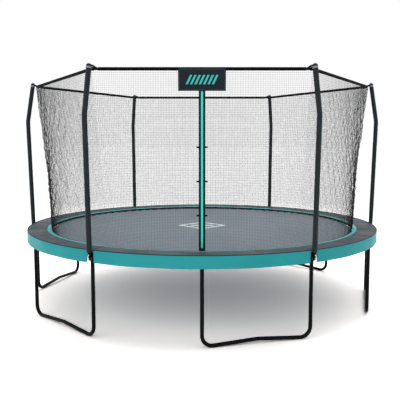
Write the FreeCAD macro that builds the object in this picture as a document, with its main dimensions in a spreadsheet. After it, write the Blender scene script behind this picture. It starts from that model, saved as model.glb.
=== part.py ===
# Round trampoline: a ring of rails on six bent-tube legs, a sprung mat, an edge pad and a safety net.
# Millimetres and degrees. +Z is up, the origin is on the ground below the middle, the door faces -Y.
import FreeCAD, Part

import math
import os
import re

import Sketcher

DIMENSIONS = {
    # Ring of rails. Radii are measured from the trampoline's axis, heights from the ground
    "leg_count": 6,
    "rail_radius": 2265,
    "rail_height": 893,
    "rail_dia": 42,
    "rail_wall": 1.5,
    "rail_end_gap": 20,
    "hook_hole_dia": 5,
    # Sockets that join rails and leg posts
    "socket_fit": 0.3,
    "socket_wall": 2.5,
    "socket_length": 127,
    "stub_length": 47,
    # Legs
    "leg_dia": 42,
    "leg_wall": 1.5,
    "leg_bend_radius": 110,
    "leg_bar_slope": 3.4,
    "leg_bar_bend_radius": 400,
    "leg_joint_height": 420,
    "spigot_length": 60,
    "spigot_fit": 0.3,
    "shoulder_thickness": 2,
    "post_top_gap": 4,
    # Enclosure poles, in the upright plane through the trampoline's axis
    "pole_dia": 32,
    "pole_wall": 1.5,
    "pole_base_radius": 2309,
    "pole_base_height": 838,
    "pole_kink_radius": 2345,
    "pole_kink_height": 2317,
    "pole_top_radius": 2268,
    "pole_top_height": 2780,
    "pole_bend_radius": 200,
    "pole_joint_height": 1500,
    "pole_spigot_length": 100,
    "pole_spigot_fit": 0.3,
    # Foam sleeves on the poles
    "sleeve_dia": 52,
    "sleeve_fit": 0.3,
    "sleeve_base_height": 922,
    # Caps on the poles and the straps at their necks
    "cap_collar_dia": 60,
    "cap_collar_height": 20,
    "cap_neck_dia": 44,
    "cap_collar_bend_radius": 4,
    "cap_neck_height": 20,
    "cap_knob_dia": 28,
    "cap_knob_flat": 2,
    "cap_knob_height": 16,
    "cap_bore_depth": 12,
    "cap_fit": 0.3,
    "strap_thickness": 2.5,
    "strap_width": 18,
    "strap_fit": 0.3,
    "strap_loop_fit": 0.9,
    # Six-sided top ring
    "ring_height": 2781,
    "ring_corner_radius": 2215,
    "rod_dia": 25,
    "rod_wall": 1.2,
    "elbow_fit": 0.3,
    "elbow_wall": 1.5,
    "elbow_bend_radius": 60,
    "elbow_arm": 75,
    "rod_end_gap": 3,
    "hem_fit": 0.5,
    "hem_thickness": 2,
    "hem_corner_gap": 60,
    # Bolts through poles, sockets and posts
    "bolt_dia": 8,
    "bolt_hole_fit": 0.3,
    "bolt_head_dia": 17,
    "bolt_head_height": 4.5,
    "head_rim": 1,
    "bolt_seat_gap": 0.3,
    "bolt_tail": 3,
    "lower_bolt_height": 854,
    "nut_width": 13,
    "nut_height": 6.5,
    "nut_fit": 0.15,
    "screw_head_dia": 14,
    "screw_head_height": 3.5,
    "screw_length": 12,
    "spacer_width": 28,
    "spacer_height": 22,
    "spacer_overlap": 7,
    "spacer_fit": 0.3,
    # Jumping mat, its rings and the webbing loops that hold them
    "mat_radius": 1985,
    "mat_height": 908,
    "mat_thickness": 3,
    "mat_hem_width": 50,
    "mat_ring_wire": 4.5,
    "mat_ring_fit": 0.3,
    "mat_ring_width": 38,
    "mat_ring_reach": 32,
    "mat_ring_bend_radius": 5,
    "loop_thickness": 1.5,
    "loop_width": 20,
    "loop_hold": 42,
    # Springs
    "spring_count": 96,
    "spring_wire": 3.2,
    "spring_arm_dia": 2.8,
    "spring_coil_dia": 21,
    "spring_coil_wall": 2.4,
    "spring_coil_start": 25,
    "spring_coil_length": 125,
    "spring_hook_fit": 0.6,
    "spring_tip": 8,
    # Pad over the springs, in sections with sewn channels, and the bright band at its inner edge
    "pad_outer_radius": 2294,
    "pad_inner_radius": 2049.5,
    "pad_rest_gap": 0.7,
    "pad_edge_height": 27,
    "pad_crown": 5,
    "pad_crown_bend_radius": 1200,
    "pad_shoulder_radius": 11,
    "pad_underside_radius": 6,
    "pad_section_count": 24,
    "pad_seam": 0.6,
    "pad_channel_width": 22,
    "pad_channel_depth": 9,
    "pole_notch_dia": 62,
    "band_inner_radius": 2002,
    "band_seam": 0.5,
    "band_inner_edge": 19,
    "band_shoulder_radius": 5,
    # Skirt below the pad's outer edge
    "skirt_thickness": 2.5,
    "skirt_gap": 0.5,
    "skirt_top_drop": 2,
    "skirt_depth": 132,
    "skirt_slot_top_width": 64,
    "skirt_slot_bottom_width": 88,
    # Safety net
    "net_base_radius": 1990,
    "net_base_height": 912.6,
    "net_thickness": 2,
    "net_hem_thickness": 5,
    "net_hem_height": 22,
    "net_top_gap": 0.6,
    "net_panel_count": 48,
    "net_bow": 25,
    "net_seam": 0.6,
    "net_door_gap": 10,
    "door_flat_width": 122,
    # Door in the net, with heights measured along its sloping line from the net's lower edge
    "door_layer_gap": 0.3,
    "door_band_width": 66,
    "door_band_thickness": 1.5,
    "door_base": 16,
    "door_top_margin": 30,
    "zip_width": 30,
    "zip_chain_width": 6,
    "zip_chain_height": 2,
    "zip_stop_width": 9,
    "zip_stop_length": 6,
    "slider_base": 90,
    "slider_width": 21,
    "slider_length": 30,
    "slider_wall": 4,
    "slider_bend_radius": 2.5,
    "slider_fit": 0.3,
    "slider_lug_width": 3,
    "slider_lug_reach": 7,
    "slider_lug_length": 9,
    "pull_pin_dia": 3,
    "pull_fit": 0.3,
    "pull_eye_wall": 2.2,
    "pull_length": 46,
    "pull_width": 14,
    "pull_thickness": 2.4,
    # Buckles on the door's inner side
    "buckle_base": 386,
    "buckle_step": 349,
    "buckle_count": 3,
    "buckle_strap_span": 115,
    "buckle_strap_width": 17,
    "buckle_strap_thickness": 1.2,
    "buckle_width": 16,
    "buckle_thickness": 8,
    "buckle_socket_length": 42,
    "buckle_wall": 1.6,
    "buckle_prong_length": 28,
    "buckle_prong_fit": 0.3,
    "buckle_tongue_length": 26,
    "buckle_seat_gap": 0.3,
    # Banner over the front rod
    "banner_width": 480,
    "banner_base_height": 2560,
    "banner_thickness": 2,
    "banner_fit": 0.5,
    "banner_back_drop": 45,
}

# Sizes and places that several pieces share, worked out from the dimensions above
LEG_STEP = "360 / leg_count"
UPRIGHT_STEP = "180 / leg_count"
SPRING_STEP = "360 / spring_count"
SPRINGS_PER_RAIL = "spring_count / leg_count / 2"
SOCKET_BORE = "(rail_dia + 2 * socket_fit)"
SOCKET_DIA = f"({SOCKET_BORE} + 2 * socket_wall)"
STUB_BOTTOM = f"(rail_height - {SOCKET_DIA} / 2 - stub_length)"
POST_TOP = "(rail_height - rail_dia / 2 - post_top_gap)"
LEG_PLANE = "(rail_radius * cos(90 / leg_count))"
LEG_HALF_SPAN = "(rail_radius * sin(90 / leg_count))"
BOLT_HOLE = "(bolt_dia + 2 * bolt_hole_fit)"
POLE_BORE = "(pole_dia - 2 * pole_wall)"
POLE_SLOPE = "((pole_kink_radius - pole_base_radius) / (pole_kink_height - pole_base_height))"
POLE_TILT = f"(atan({POLE_SLOPE}) / 1 deg)"
TOP_TILT = "(atan((pole_top_radius - pole_kink_radius) / (pole_top_height - pole_kink_height)) / 1 deg)"
SLEEVE_BORE = "(pole_dia + 2 * sleeve_fit)"
ELBOW_BORE = "(rod_dia + 2 * elbow_fit)"
ELBOW_DIA = f"({ELBOW_BORE} + 2 * elbow_wall)"
RING_EDGE_RADIUS = "(ring_corner_radius * cos(180 / leg_count))"
RING_EDGE_LENGTH = "(2 * ring_corner_radius * sin(180 / leg_count))"
RING_BEND_REACH = "(elbow_bend_radius * tan(180 / leg_count))"
RING_BEND_INSET = "(elbow_bend_radius * (1 / cos(180 / leg_count) - 1))"
HEM_DIA = f"({ELBOW_DIA} + 2 * hem_fit + 2 * hem_thickness)"
MAT_HEM_THICKNESS = "(mat_ring_wire + 2 * mat_ring_fit)"
MAT_RING_BAR = "(mat_radius + mat_ring_wire / 2 + mat_ring_fit)"
MAT_RING_APEX = f"({MAT_RING_BAR} + mat_ring_reach)"
PAD_BOTTOM = f"(rail_height + {SOCKET_DIA} / 2 + pad_rest_gap)"
PAD_EDGE = f"({PAD_BOTTOM} + pad_edge_height)"
PAD_STEP = "360 / pad_section_count"
SEAM_ANGLE = "(asin(pad_seam / 2 / pad_outer_radius) / 1 deg)"
SKIRT_RADIUS = "(pad_outer_radius + skirt_gap)"
SKIRT_TOP = f"({PAD_EDGE} - skirt_top_drop)"
SPACER_BASE = "(lower_bolt_height - spacer_height / 2)"
NET_TOP = f"(ring_height - {HEM_DIA} / 2 - net_top_gap)"
NET_RISE = f"({NET_TOP} - net_base_height)"
DOOR_TILT = f"(atan((net_base_radius - {RING_EDGE_RADIUS}) / {NET_RISE}) / 1 deg)"
DOOR_LENGTH = f"({NET_RISE} / cos({DOOR_TILT}))"
DOOR_FACE = "(net_hem_thickness / 2 + door_layer_gap)"
ZIP_FACE = f"({DOOR_FACE} + door_band_thickness)"
SLIDER_BACK = f"({ZIP_FACE} + slider_fit)"
SLIDER_FACE = f"({ZIP_FACE} + zip_chain_height + slider_fit + slider_wall)"
PULL_BORE = "(pull_pin_dia + 2 * pull_fit)"
PULL_EYE = f"({PULL_BORE} + 2 * pull_eye_wall)"
PULL_PIN_OUT = f"({SLIDER_FACE} + {PULL_EYE} / 2 + slider_fit)"
PULL_PIN_HEIGHT = "(slider_base + slider_lug_length / 2)"
BUCKLE_STRAP_FACE = "(net_thickness / 2 + door_layer_gap)"
BUCKLE_BACK = f"({BUCKLE_STRAP_FACE} + buckle_strap_thickness + buckle_seat_gap)"
BUCKLE_CAVITY = "(buckle_width - 2 * buckle_wall)"
BUCKLE_CAVITY_DEPTH = "(buckle_thickness - 2 * buckle_wall)"
BANNER_RADIUS = f"({HEM_DIA} / 2 + banner_fit + banner_thickness / 2)"

# Front of the trampoline and of its poles, as turns about +Z from +X
FRONT_TURN = "-90"
FIRST_POLE_TURN = f"{UPRIGHT_STEP} - 90"

# How far a cut runs past the face it opens, and half the flat left at the middle of a fold
OVERRUN = "5"
FOLD_FLAT = "0.05"

# Level sections of the net above its hem, and where the hem has thinned to the net, as a share of the hem
NET_LEVELS = 6
HEM_TAPER = 1.1

document = FreeCAD.newDocument("trampoline")
sheet = document.addObject("Spreadsheet::Sheet", "dims")
for row, (alias, number) in enumerate(DIMENSIONS.items(), 1):
    sheet.set(f"A{row}", str(number))
    sheet.setAlias(f"A{row}", alias)
document.recompute()
nodes = []


def sized(expression):
    """The expression with each dimension's name pointed at the sheet."""

    def pointed(word):
        return f"dims.{word[0]}" if word[0] in DIMENSIONS else word[0]

    return re.sub(r"[a-z_]+", pointed, str(expression))


def value(expression):
    """The number that an expression over the sheet gives."""
    return float(sheet.evalExpression(sized(expression)))


def bind(item, name, expression):
    item.setExpression(name, sized(expression))


# Sketches


def origin_part(body, role):
    return next(item for item in body.Origin.OriginFeatures if item.Role == role)


def new_sketch(body, name, plane="XY_Plane", shift=("0", "0", "0"), turn=None):
    """A sketch on an origin plane, moved in the plane's own axes and turned by (axis, angle) there."""
    sketch = body.newObject("Sketcher::SketchObject", name)
    sketch.AttachmentSupport = [(origin_part(body, plane), "")]
    sketch.MapMode = "FlatFace"
    if turn:
        axis, angle = turn
        rotation = FreeCAD.Rotation(FreeCAD.Vector(*axis), 1)
        sketch.AttachmentOffset = FreeCAD.Placement(FreeCAD.Vector(), rotation)
        bind(sketch, "AttachmentOffset.Rotation.Angle", angle)
    for letter, distance in zip("xyz", shift):
        bind(sketch, f"AttachmentOffset.Base.{letter}", distance)
    return sketch


def constrain(sketch, kind, geometry, expression):
    index = sketch.addConstraint(Sketcher.Constraint(kind, *geometry, value(expression)))
    bind(sketch, f"Constraints[{index}]", expression)


def pin(sketch, curve, point, place):
    """Holds one point of a curve at a place, given as two expressions."""
    constrain(sketch, "DistanceX", (curve, point), place[0])
    constrain(sketch, "DistanceY", (curve, point), place[1])


def add_circle(sketch, diameter, place=("0", "0")):
    centre = FreeCAD.Vector(value(place[0]), value(place[1]), 0)
    circle = Part.Circle(centre, FreeCAD.Vector(0, 0, 1), value(diameter) / 2)
    curve = sketch.addGeometry(circle, False)
    constrain(sketch, "Diameter", (curve,), diameter)
    pin(sketch, curve, 3, place)


def add_ring(sketch, outer, inner, place=("0", "0")):
    add_circle(sketch, outer, place)
    add_circle(sketch, inner, place)


def bend_ends(before, corner, after, radius):
    """Where a bend of this radius leaves the line before a corner and meets the line after it."""
    back = (before - corner).normalize()
    ahead = (after - corner).normalize()
    reach = radius / math.tan(back.getAngle(ahead) / 2)
    return corner + back * reach, corner + ahead * reach


def add_bend(sketch, lines, corner, ends, place, radius):
    """A tangent arc between two lines, whose own corner stays as a construction point at its place."""
    start, finish = ends
    size = value(radius)
    to_centre = ((start + finish) / 2 - corner).normalize()
    centre = corner + to_centre * math.hypot(size, (start - corner).Length)
    arc = sketch.addGeometry(Part.Arc(start, centre - to_centre * size, finish), False)
    distances = [sketch.getPoint(arc, end).distanceToPoint(start) for end in (1, 2)]
    first, last = (1, 2) if distances[0] < distances[1] else (2, 1)
    sketch.addConstraint(Sketcher.Constraint("Tangent", lines[0], 2, arc, first))
    sketch.addConstraint(Sketcher.Constraint("Tangent", lines[1], 1, arc, last))
    constrain(sketch, "Radius", (arc,), radius)
    mark = sketch.addGeometry(Part.Point(corner), True)
    for line in lines:
        sketch.addConstraint(Sketcher.Constraint("PointOnObject", mark, 1, line))
    pin(sketch, mark, 1, place)


def add_path(sketch, places, bends=None, closed=False):
    """Lines through places, each a pair of expressions, with bends as {index of a place: radius}."""
    bends = bends or {}
    spots = [FreeCAD.Vector(value(x), value(y), 0) for x, y in places]
    count = len(spots)
    ends = [(spot, spot) for spot in spots]
    for index, radius in bends.items():
        around = spots[index - 1], spots[index], spots[(index + 1) % count]
        ends[index] = bend_ends(*around, value(radius))
    pairs = [(index, (index + 1) % count) for index in range(count if closed else count - 1)]
    lines = [sketch.addGeometry(Part.LineSegment(ends[a][1], ends[b][0]), False) for a, b in pairs]
    for index, place in enumerate(places):
        if index in bends:
            meeting = (lines[index - 1], lines[index])
            add_bend(sketch, meeting, spots[index], ends[index], place, bends[index])
        elif index < len(lines):
            pin(sketch, lines[index], 1, place)
            if index or closed:
                sketch.addConstraint(Sketcher.Constraint("Coincident", lines[index - 1], 2, lines[index], 1))
        else:
            pin(sketch, lines[-1], 2, place)


def add_rectangle(sketch, left, right, bottom, top):
    add_path(sketch, [(left, bottom), (right, bottom), (right, top), (left, top)], closed=True)


# Bodies and their features


def new_body(label, turn="0"):
    """A body of its own name, turned about +Z."""
    body = document.addObject("PartDesign::Body", label)
    body.Label = label
    body.AllowCompound = True
    bind(body, "Placement.Rotation.Angle", turn)
    nodes.append(body)
    return body


def revolve(sketch, angle="360", back=None, cut=False, axis="V_Axis"):
    """Turns a sketch about one of its own axes, half each way unless a second angle says how far back."""
    body = sketch.getParentGeoFeatureGroup()
    kind = "PartDesign::Groove" if cut else "PartDesign::Revolution"
    feature = body.newObject(kind, f"{sketch.Name}_turned")
    feature.Profile = sketch
    feature.ReferenceAxis = (sketch, [axis])
    bind(feature, "Angle", angle)
    if back is None:
        feature.Midplane = True
    else:
        feature.Type = "TwoAngles"
        bind(feature, "Angle2", back)


def extrude(sketch, length, cut=False, both_ways=False, backwards=False):
    body = sketch.getParentGeoFeatureGroup()
    kind = "PartDesign::Pocket" if cut else "PartDesign::Pad"
    feature = body.newObject(kind, f"{sketch.Name}_extruded")
    feature.Profile = sketch
    feature.Reversed = backwards
    if both_ways:
        feature.SideType = "Symmetric"
    bind(feature, "Length", length)
    return feature


def sweep(profile, spine):
    body = profile.getParentGeoFeatureGroup()
    feature = body.newObject("PartDesign::AdditivePipe", f"{profile.Name}_swept")
    feature.Profile = profile
    feature.Spine = spine


def repeat_round(body, count, angle="360", features=None):
    """Repeats the whole body about +Z, or only the features named."""
    document.recompute()
    pattern = body.newObject("PartDesign::PolarPattern", f"{body.Name}_round")
    if features:
        pattern.Originals = features
    else:
        pattern.TransformMode = "Whole shape"
    pattern.Axis = (origin_part(body, "Z_Axis"), [""])
    bind(pattern, "Occurrences", count)
    bind(pattern, "Angle", angle)
    body.Tip = pattern
    document.recompute()


def copy_round(label, body, count):
    """A node of separate copies of one body round +Z, where there are too many to join as features."""
    nodes.remove(body)
    document.recompute()
    total = round(value(count))
    axis = FreeCAD.Vector(0, 0, 1)
    turns = [FreeCAD.Rotation(axis, 360 / total * index) for index in range(total)]
    places = [FreeCAD.Placement(FreeCAD.Vector(), turn) for turn in turns]
    copies = document.addObject("Part::Feature", label)
    copies.Label = label
    copies.Shape = Part.makeCompound([body.Shape.transformed(place.toMatrix()) for place in places])
    nodes.append(copies)


# Frame


def make_rail(index):
    """One curved rail with its hook holes. Its first hook hole lies on the body's +X axis."""
    end_angle = "(asin(rail_end_gap / 2 / rail_radius) / 1 deg)"
    body = new_body(f"rail_{index + 1:02d}", f"{index} * {UPRIGHT_STEP} + {SPRING_STEP} / 2 - 90")
    section = new_sketch(body, "rail_section", "XZ_Plane")
    add_ring(section, "rail_dia", "rail_dia - 2 * rail_wall", ("rail_radius", "rail_height"))
    tail = f"{SPRING_STEP} / 2 - {end_angle}"
    revolve(section, f"{UPRIGHT_STEP} - {SPRING_STEP} / 2 - {end_angle}", back=tail)
    hole = new_sketch(body, "hook_hole", "YZ_Plane", ("0", "rail_height", "rail_radius"))
    add_circle(hole, "hook_hole_dia")
    holes = extrude(hole, "rail_dia", cut=True)
    repeat_round(body, SPRINGS_PER_RAIL, f"{UPRIGHT_STEP} - {SPRING_STEP}", [holes])


def cross_hole(body, name, height, radius, reach):
    """A bolt hole along the body's X axis through both walls of a tube."""
    hole = new_sketch(body, name, "YZ_Plane", ("0", height, radius))
    add_circle(hole, BOLT_HOLE)
    extrude(hole, reach, cut=True, both_ways=True)


def make_sockets():
    """Sockets with a curved sleeve for two rail ends and a stub for the post."""
    body = new_body("t_sockets", FRONT_TURN)
    sleeve = new_sketch(body, "socket_sleeve", "XZ_Plane")
    add_circle(sleeve, SOCKET_DIA, ("rail_radius", "rail_height"))
    sleeve_angle = "(2 * asin(socket_length / 2 / rail_radius) / 1 deg)"
    revolve(sleeve, sleeve_angle)
    stub = new_sketch(body, "socket_stub", "XY_Plane", ("rail_radius", "0", "rail_height"))
    add_circle(stub, SOCKET_DIA)
    extrude(stub, f"rail_height - {STUB_BOTTOM}", backwards=True)
    bore = new_sketch(body, "socket_bore", "XZ_Plane")
    add_circle(bore, SOCKET_BORE, ("rail_radius", "rail_height"))
    revolve(bore, f"2 * {sleeve_angle}", cut=True)
    stub_bore = new_sketch(body, "socket_stub_bore", "XY_Plane", ("rail_radius", "0", "rail_height"))
    add_circle(stub_bore, SOCKET_BORE)
    extrude(stub_bore, f"rail_height - {STUB_BOTTOM} + {OVERRUN}", cut=True)
    for name, height in (("socket_upper_hole", "rail_height"), ("socket_lower_hole", "lower_bolt_height")):
        cross_hole(body, name, height, "rail_radius", f"2 * {SOCKET_DIA}")
    repeat_round(body, "2 * leg_count")


def make_posts():
    body = new_body("leg_posts", FRONT_TURN)
    section = new_sketch(body, "post_section", "XY_Plane", ("rail_radius", "0", "leg_joint_height"))
    add_ring(section, "leg_dia", "leg_dia - 2 * leg_wall")
    extrude(section, f"{POST_TOP} - leg_joint_height")
    cross_hole(body, "post_hole", "lower_bolt_height", "rail_radius", "2 * leg_dia")
    repeat_round(body, "2 * leg_count")


def make_leg(index):
    """One leg base: a shallow W on the ground between two uprights that start at every second socket."""
    body = new_body(f"leg_base_{index + 1}", f"({index} + 0.25) * {LEG_STEP} - 90")
    swing = "tan(45 + leg_bar_slope / 2)"
    corner_height = f"leg_dia / 2 + leg_bend_radius * (1 - {swing})"
    middle_height = f"{corner_height} + {LEG_HALF_SPAN} * tan(leg_bar_slope)"
    tube_top = "(leg_joint_height - shoulder_thickness)"
    spine = new_sketch(body, "leg_line", "YZ_Plane", ("0", "0", LEG_PLANE))
    places = [
        (f"-{LEG_HALF_SPAN}", tube_top),
        (f"-{LEG_HALF_SPAN}", corner_height),
        ("0", middle_height),
        (LEG_HALF_SPAN, corner_height),
        (LEG_HALF_SPAN, tube_top),
    ]
    add_path(spine, places, {1: "leg_bend_radius", 2: "leg_bar_bend_radius", 3: "leg_bend_radius"})
    section = new_sketch(body, "leg_section", "XY_Plane", (LEG_PLANE, f"-{LEG_HALF_SPAN}", tube_top))
    add_ring(section, "leg_dia", "leg_dia - 2 * leg_wall")
    sweep(section, spine)
    spigot = "(leg_dia - 2 * leg_wall - 2 * spigot_fit)"
    spigot_bore = f"({spigot} - 2 * leg_wall)"
    for side, name in (("-", "left"), ("", "right")):
        place = (LEG_PLANE, f"{side}{LEG_HALF_SPAN}", tube_top)
        shoulder = new_sketch(body, f"{name}_shoulder", "XY_Plane", place)
        add_ring(shoulder, "leg_dia", spigot_bore)
        extrude(shoulder, "shoulder_thickness")
        neck = new_sketch(body, f"{name}_spigot", "XY_Plane", place)
        add_ring(neck, spigot, spigot_bore)
        extrude(neck, "shoulder_thickness + spigot_length")


# Enclosure poles


def pole_radius_at(height):
    """Radius of the pole's axis at a height below its bend."""
    return f"(pole_base_radius + ({height} - pole_base_height) * {POLE_SLOPE})"


def pole_section(body, name, height, outer, inner):
    """Ring square to the lower pole's axis, at a height."""
    place = (pole_radius_at(height), "0", height)
    section = new_sketch(body, name, "XY_Plane", place, ((0, 1, 0), POLE_TILT))
    add_ring(section, outer, inner)
    return section


def straight_pole(body, name, heights, outer, inner):
    """A tube along the lower pole's axis between two heights."""
    spine = new_sketch(body, f"{name}_line", "XZ_Plane")
    add_path(spine, [(pole_radius_at(height), height) for height in heights])
    sweep(pole_section(body, f"{name}_section", heights[0], outer, inner), spine)


def bent_pole(body, name, base_height, outer, inner, overrun="0"):
    """A tube along the pole from a height to its top end, or past that by an overrun."""
    places = [
        (pole_radius_at(base_height), base_height),
        ("pole_kink_radius", "pole_kink_height"),
        (f"pole_top_radius + {overrun} * sin({TOP_TILT})", f"pole_top_height + {overrun} * cos({TOP_TILT})"),
    ]
    spine = new_sketch(body, f"{name}_line", "XZ_Plane")
    add_path(spine, places, {1: "pole_bend_radius"})
    sweep(pole_section(body, f"{name}_section", base_height, outer, inner), spine)


def make_lower_tubes():
    body = new_body("pole_lower_tubes", FIRST_POLE_TURN)
    straight_pole(body, "lower_tube", ("pole_base_height", "pole_joint_height"), "pole_dia", POLE_BORE)
    for name, height in (("tube_upper_hole", "rail_height"), ("tube_lower_hole", "lower_bolt_height")):
        cross_hole(body, name, height, pole_radius_at(height), "2 * pole_dia")
    repeat_round(body, "leg_count")


def make_pole(index):
    """One upper pole tube, bent near its top, with a spigot down into the lower tube."""
    body = new_body(f"pole_tube_{index + 1}", f"{FIRST_POLE_TURN} + {index} * {LEG_STEP}")
    spigot = f"({POLE_BORE} - 2 * pole_spigot_fit)"
    spigot_bore = f"({spigot} - 2 * pole_wall)"
    shoulder_top = "(pole_joint_height + shoulder_thickness)"
    bent_pole(body, "upper_tube", "pole_joint_height", "pole_dia", POLE_BORE, "cap_bore_depth")
    straight_pole(body, "pole_shoulder", ("pole_joint_height", shoulder_top), "pole_dia", spigot_bore)
    spigot_base = "(pole_joint_height - pole_spigot_length)"
    straight_pole(body, "pole_spigot", (spigot_base, shoulder_top), spigot, spigot_bore)


def make_sleeve(index):
    body = new_body(f"pole_sleeve_{index + 1}", f"{FIRST_POLE_TURN} + {index} * {LEG_STEP}")
    bent_pole(body, "foam", "sleeve_base_height", "sleeve_dia", SLEEVE_BORE)


def cap_sketch(body, name):
    """A sketch whose V axis is the pole's axis above its bend, with its zero at the sleeve's top end."""
    place = ("pole_top_radius", "pole_top_height", "0")
    return new_sketch(body, name, "XZ_Plane", place, ((0, 0, 1), f"-{TOP_TILT}"))


def make_caps():
    body = new_body("pole_caps", FIRST_POLE_TURN)
    bore = "(pole_dia / 2 + cap_fit)"
    roof = "(cap_bore_depth + cap_fit)"
    neck_top = "(cap_collar_height + cap_neck_height)"
    places = [
        (bore, "0"),
        ("cap_collar_dia / 2", "0"),
        ("cap_collar_dia / 2", "cap_collar_height"),
        ("cap_neck_dia / 2", "cap_collar_height"),
        ("cap_neck_dia / 2", neck_top),
        ("cap_knob_dia / 2", neck_top),
        ("cap_knob_dia / 2", f"{neck_top} + cap_knob_height"),
        ("0", f"{neck_top} + cap_knob_height"),
        ("0", roof),
        (bore, roof),
    ]
    outline = cap_sketch(body, "cap_outline")
    bends = {2: "cap_collar_bend_radius", 6: "(cap_knob_dia - cap_knob_flat) / 2"}
    add_path(outline, places, bends, closed=True)
    revolve(outline)
    repeat_round(body, "leg_count")


def make_corner_straps():
    """Straps with a loop round each cap's neck and a loop round the ring's elbow below it."""
    body = new_body("corner_straps", FIRST_POLE_TURN)
    neck_loop = cap_sketch(body, "neck_loop")
    inner = "(cap_neck_dia / 2 + strap_fit)"
    middle = "(cap_collar_height + cap_neck_height / 2)"
    base = f"{middle} - strap_width / 2"
    add_rectangle(neck_loop, inner, f"{inner} + strap_thickness", base, f"{base} + strap_width")
    revolve(neck_loop)
    elbow_loop = new_sketch(body, "elbow_loop", "XZ_Plane")
    elbow = (f"ring_corner_radius - {RING_BEND_INSET}", "ring_height")
    loop_bore = f"({ELBOW_DIA} + 2 * strap_loop_fit)"
    loop_dia = f"({loop_bore} + 2 * strap_thickness)"
    add_ring(elbow_loop, loop_dia, loop_bore, elbow)
    extrude(elbow_loop, "strap_width", both_ways=True)
    tongue = new_sketch(body, "strap_tongue", "XZ_Plane")
    foot = (elbow[0], f"ring_height + {loop_bore} / 2 + strap_thickness / 2")
    reach = f"({inner} + strap_thickness / 2)"
    head = (
        f"pole_top_radius - {reach} * cos({TOP_TILT}) + {middle} * sin({TOP_TILT})",
        f"pole_top_height + {reach} * sin({TOP_TILT}) + {middle} * cos({TOP_TILT})",
    )
    half = "strap_thickness / 2"
    places = [
        (foot[0], f"{foot[1]} - {half}"),
        (head[0], f"{head[1]} - {half} - strap_thickness"),
        (head[0], f"{head[1]} + {half}"),
        (foot[0], f"{foot[1]} + {half}"),
    ]
    add_path(tongue, places, closed=True)
    extrude(tongue, "strap_width", both_ways=True)
    repeat_round(body, "leg_count")


# Top ring


def make_ring_rods():
    body = new_body("ring_rods", f"{FIRST_POLE_TURN} + {LEG_STEP} / 2")
    section = new_sketch(body, "rod_section", "XZ_Plane")
    add_ring(section, "rod_dia", "rod_dia - 2 * rod_wall", (RING_EDGE_RADIUS, "ring_height"))
    extrude(section, f"{RING_EDGE_LENGTH} - 2 * ({RING_BEND_REACH} + rod_end_gap)", both_ways=True)
    repeat_round(body, "leg_count")


def make_ring_elbows():
    body = new_body("ring_elbows", FIRST_POLE_TURN)
    spine = new_sketch(body, "elbow_line", "XY_Plane", ("0", "0", "ring_height"))
    arm_in = "elbow_arm * sin(180 / leg_count)"
    arm_across = "(elbow_arm * cos(180 / leg_count))"
    start = (f"ring_corner_radius - {arm_in}", f"-{arm_across}")
    finish = (f"ring_corner_radius - {arm_in}", arm_across)
    add_path(spine, [start, ("ring_corner_radius", "0"), finish], {1: "elbow_bend_radius"})
    place = (start[0], "ring_height", arm_across)
    section = new_sketch(body, "elbow_section", "XZ_Plane", place, ((0, 1, 0), "-180 / leg_count"))
    add_ring(section, ELBOW_DIA, ELBOW_BORE)
    sweep(section, spine)
    repeat_round(body, "leg_count")


def make_net_hem():
    """The net's sewn sleeve round each rod of the top ring."""
    body = new_body("net_top_sleeve", f"{FIRST_POLE_TURN} + {LEG_STEP} / 2")
    section = new_sketch(body, "hem_section", "XZ_Plane")
    add_ring(section, HEM_DIA, f"{ELBOW_DIA} + 2 * hem_fit", (RING_EDGE_RADIUS, "ring_height"))
    extrude(section, f"{RING_EDGE_LENGTH} - 2 * hem_corner_gap", both_ways=True)
    repeat_round(body, "leg_count")


# Fasteners and spacers


def bolt_heights():
    return (("upper", "rail_height"), ("lower", "lower_bolt_height"))


def make_spacers():
    """Spacers between the poles and the sockets' stubs, hollowed to the shape of both tubes."""
    body = new_body("pole_spacers", FIRST_POLE_TURN)
    outline = new_sketch(body, "spacer_outline", "XY_Plane", ("0", "0", SPACER_BASE))
    near = f"rail_radius + {SOCKET_DIA} / 2 - spacer_overlap"
    far = f"{pole_radius_at(SPACER_BASE)} - pole_dia / 2 + spacer_overlap"
    add_rectangle(outline, near, far, "-spacer_width / 2", "spacer_width / 2")
    extrude(outline, "spacer_height")
    stub = new_sketch(body, "spacer_stub_side", "XY_Plane", ("rail_radius", "0", SPACER_BASE))
    add_circle(stub, f"{SOCKET_DIA} + 2 * spacer_fit")
    extrude(stub, "spacer_height", cut=True, backwards=True)
    pole = new_sketch(body, "spacer_pole_side", "XY_Plane", (pole_radius_at(SPACER_BASE), "0", SPACER_BASE))
    pole_clear = f"pole_dia + 2 * spacer_fit + 2 * spacer_height * {POLE_SLOPE}"
    add_circle(pole, pole_clear)
    extrude(pole, "spacer_height", cut=True, backwards=True)
    cross_hole(body, "spacer_hole", "lower_bolt_height", "rail_radius + rail_dia", "4 * rail_dia")
    repeat_round(body, "leg_count")


def make_bolts():
    """Two bolts through each pole and its socket, with domed heads on the pole."""
    body = new_body("pole_bolts", FIRST_POLE_TURN)
    tip = f"(rail_radius - {SOCKET_DIA} / 2 - bolt_seat_gap - nut_height - bolt_tail)"
    for name, height in bolt_heights():
        seat = f"({pole_radius_at(height)} + pole_dia / 2 + bolt_seat_gap)"
        outline = new_sketch(body, f"{name}_bolt", "XZ_Plane", ("0", height, "0"))
        places = [
            (tip, "0"),
            (f"{seat} + bolt_head_height", "0"),
            (f"{seat} + bolt_head_height", "bolt_head_dia / 2"),
            (seat, "bolt_head_dia / 2"),
            (seat, "bolt_dia / 2"),
            (tip, "bolt_dia / 2"),
        ]
        add_path(outline, places, {2: "bolt_head_height - head_rim"}, closed=True)
        revolve(outline, axis="H_Axis")
    repeat_round(body, "leg_count")


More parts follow.
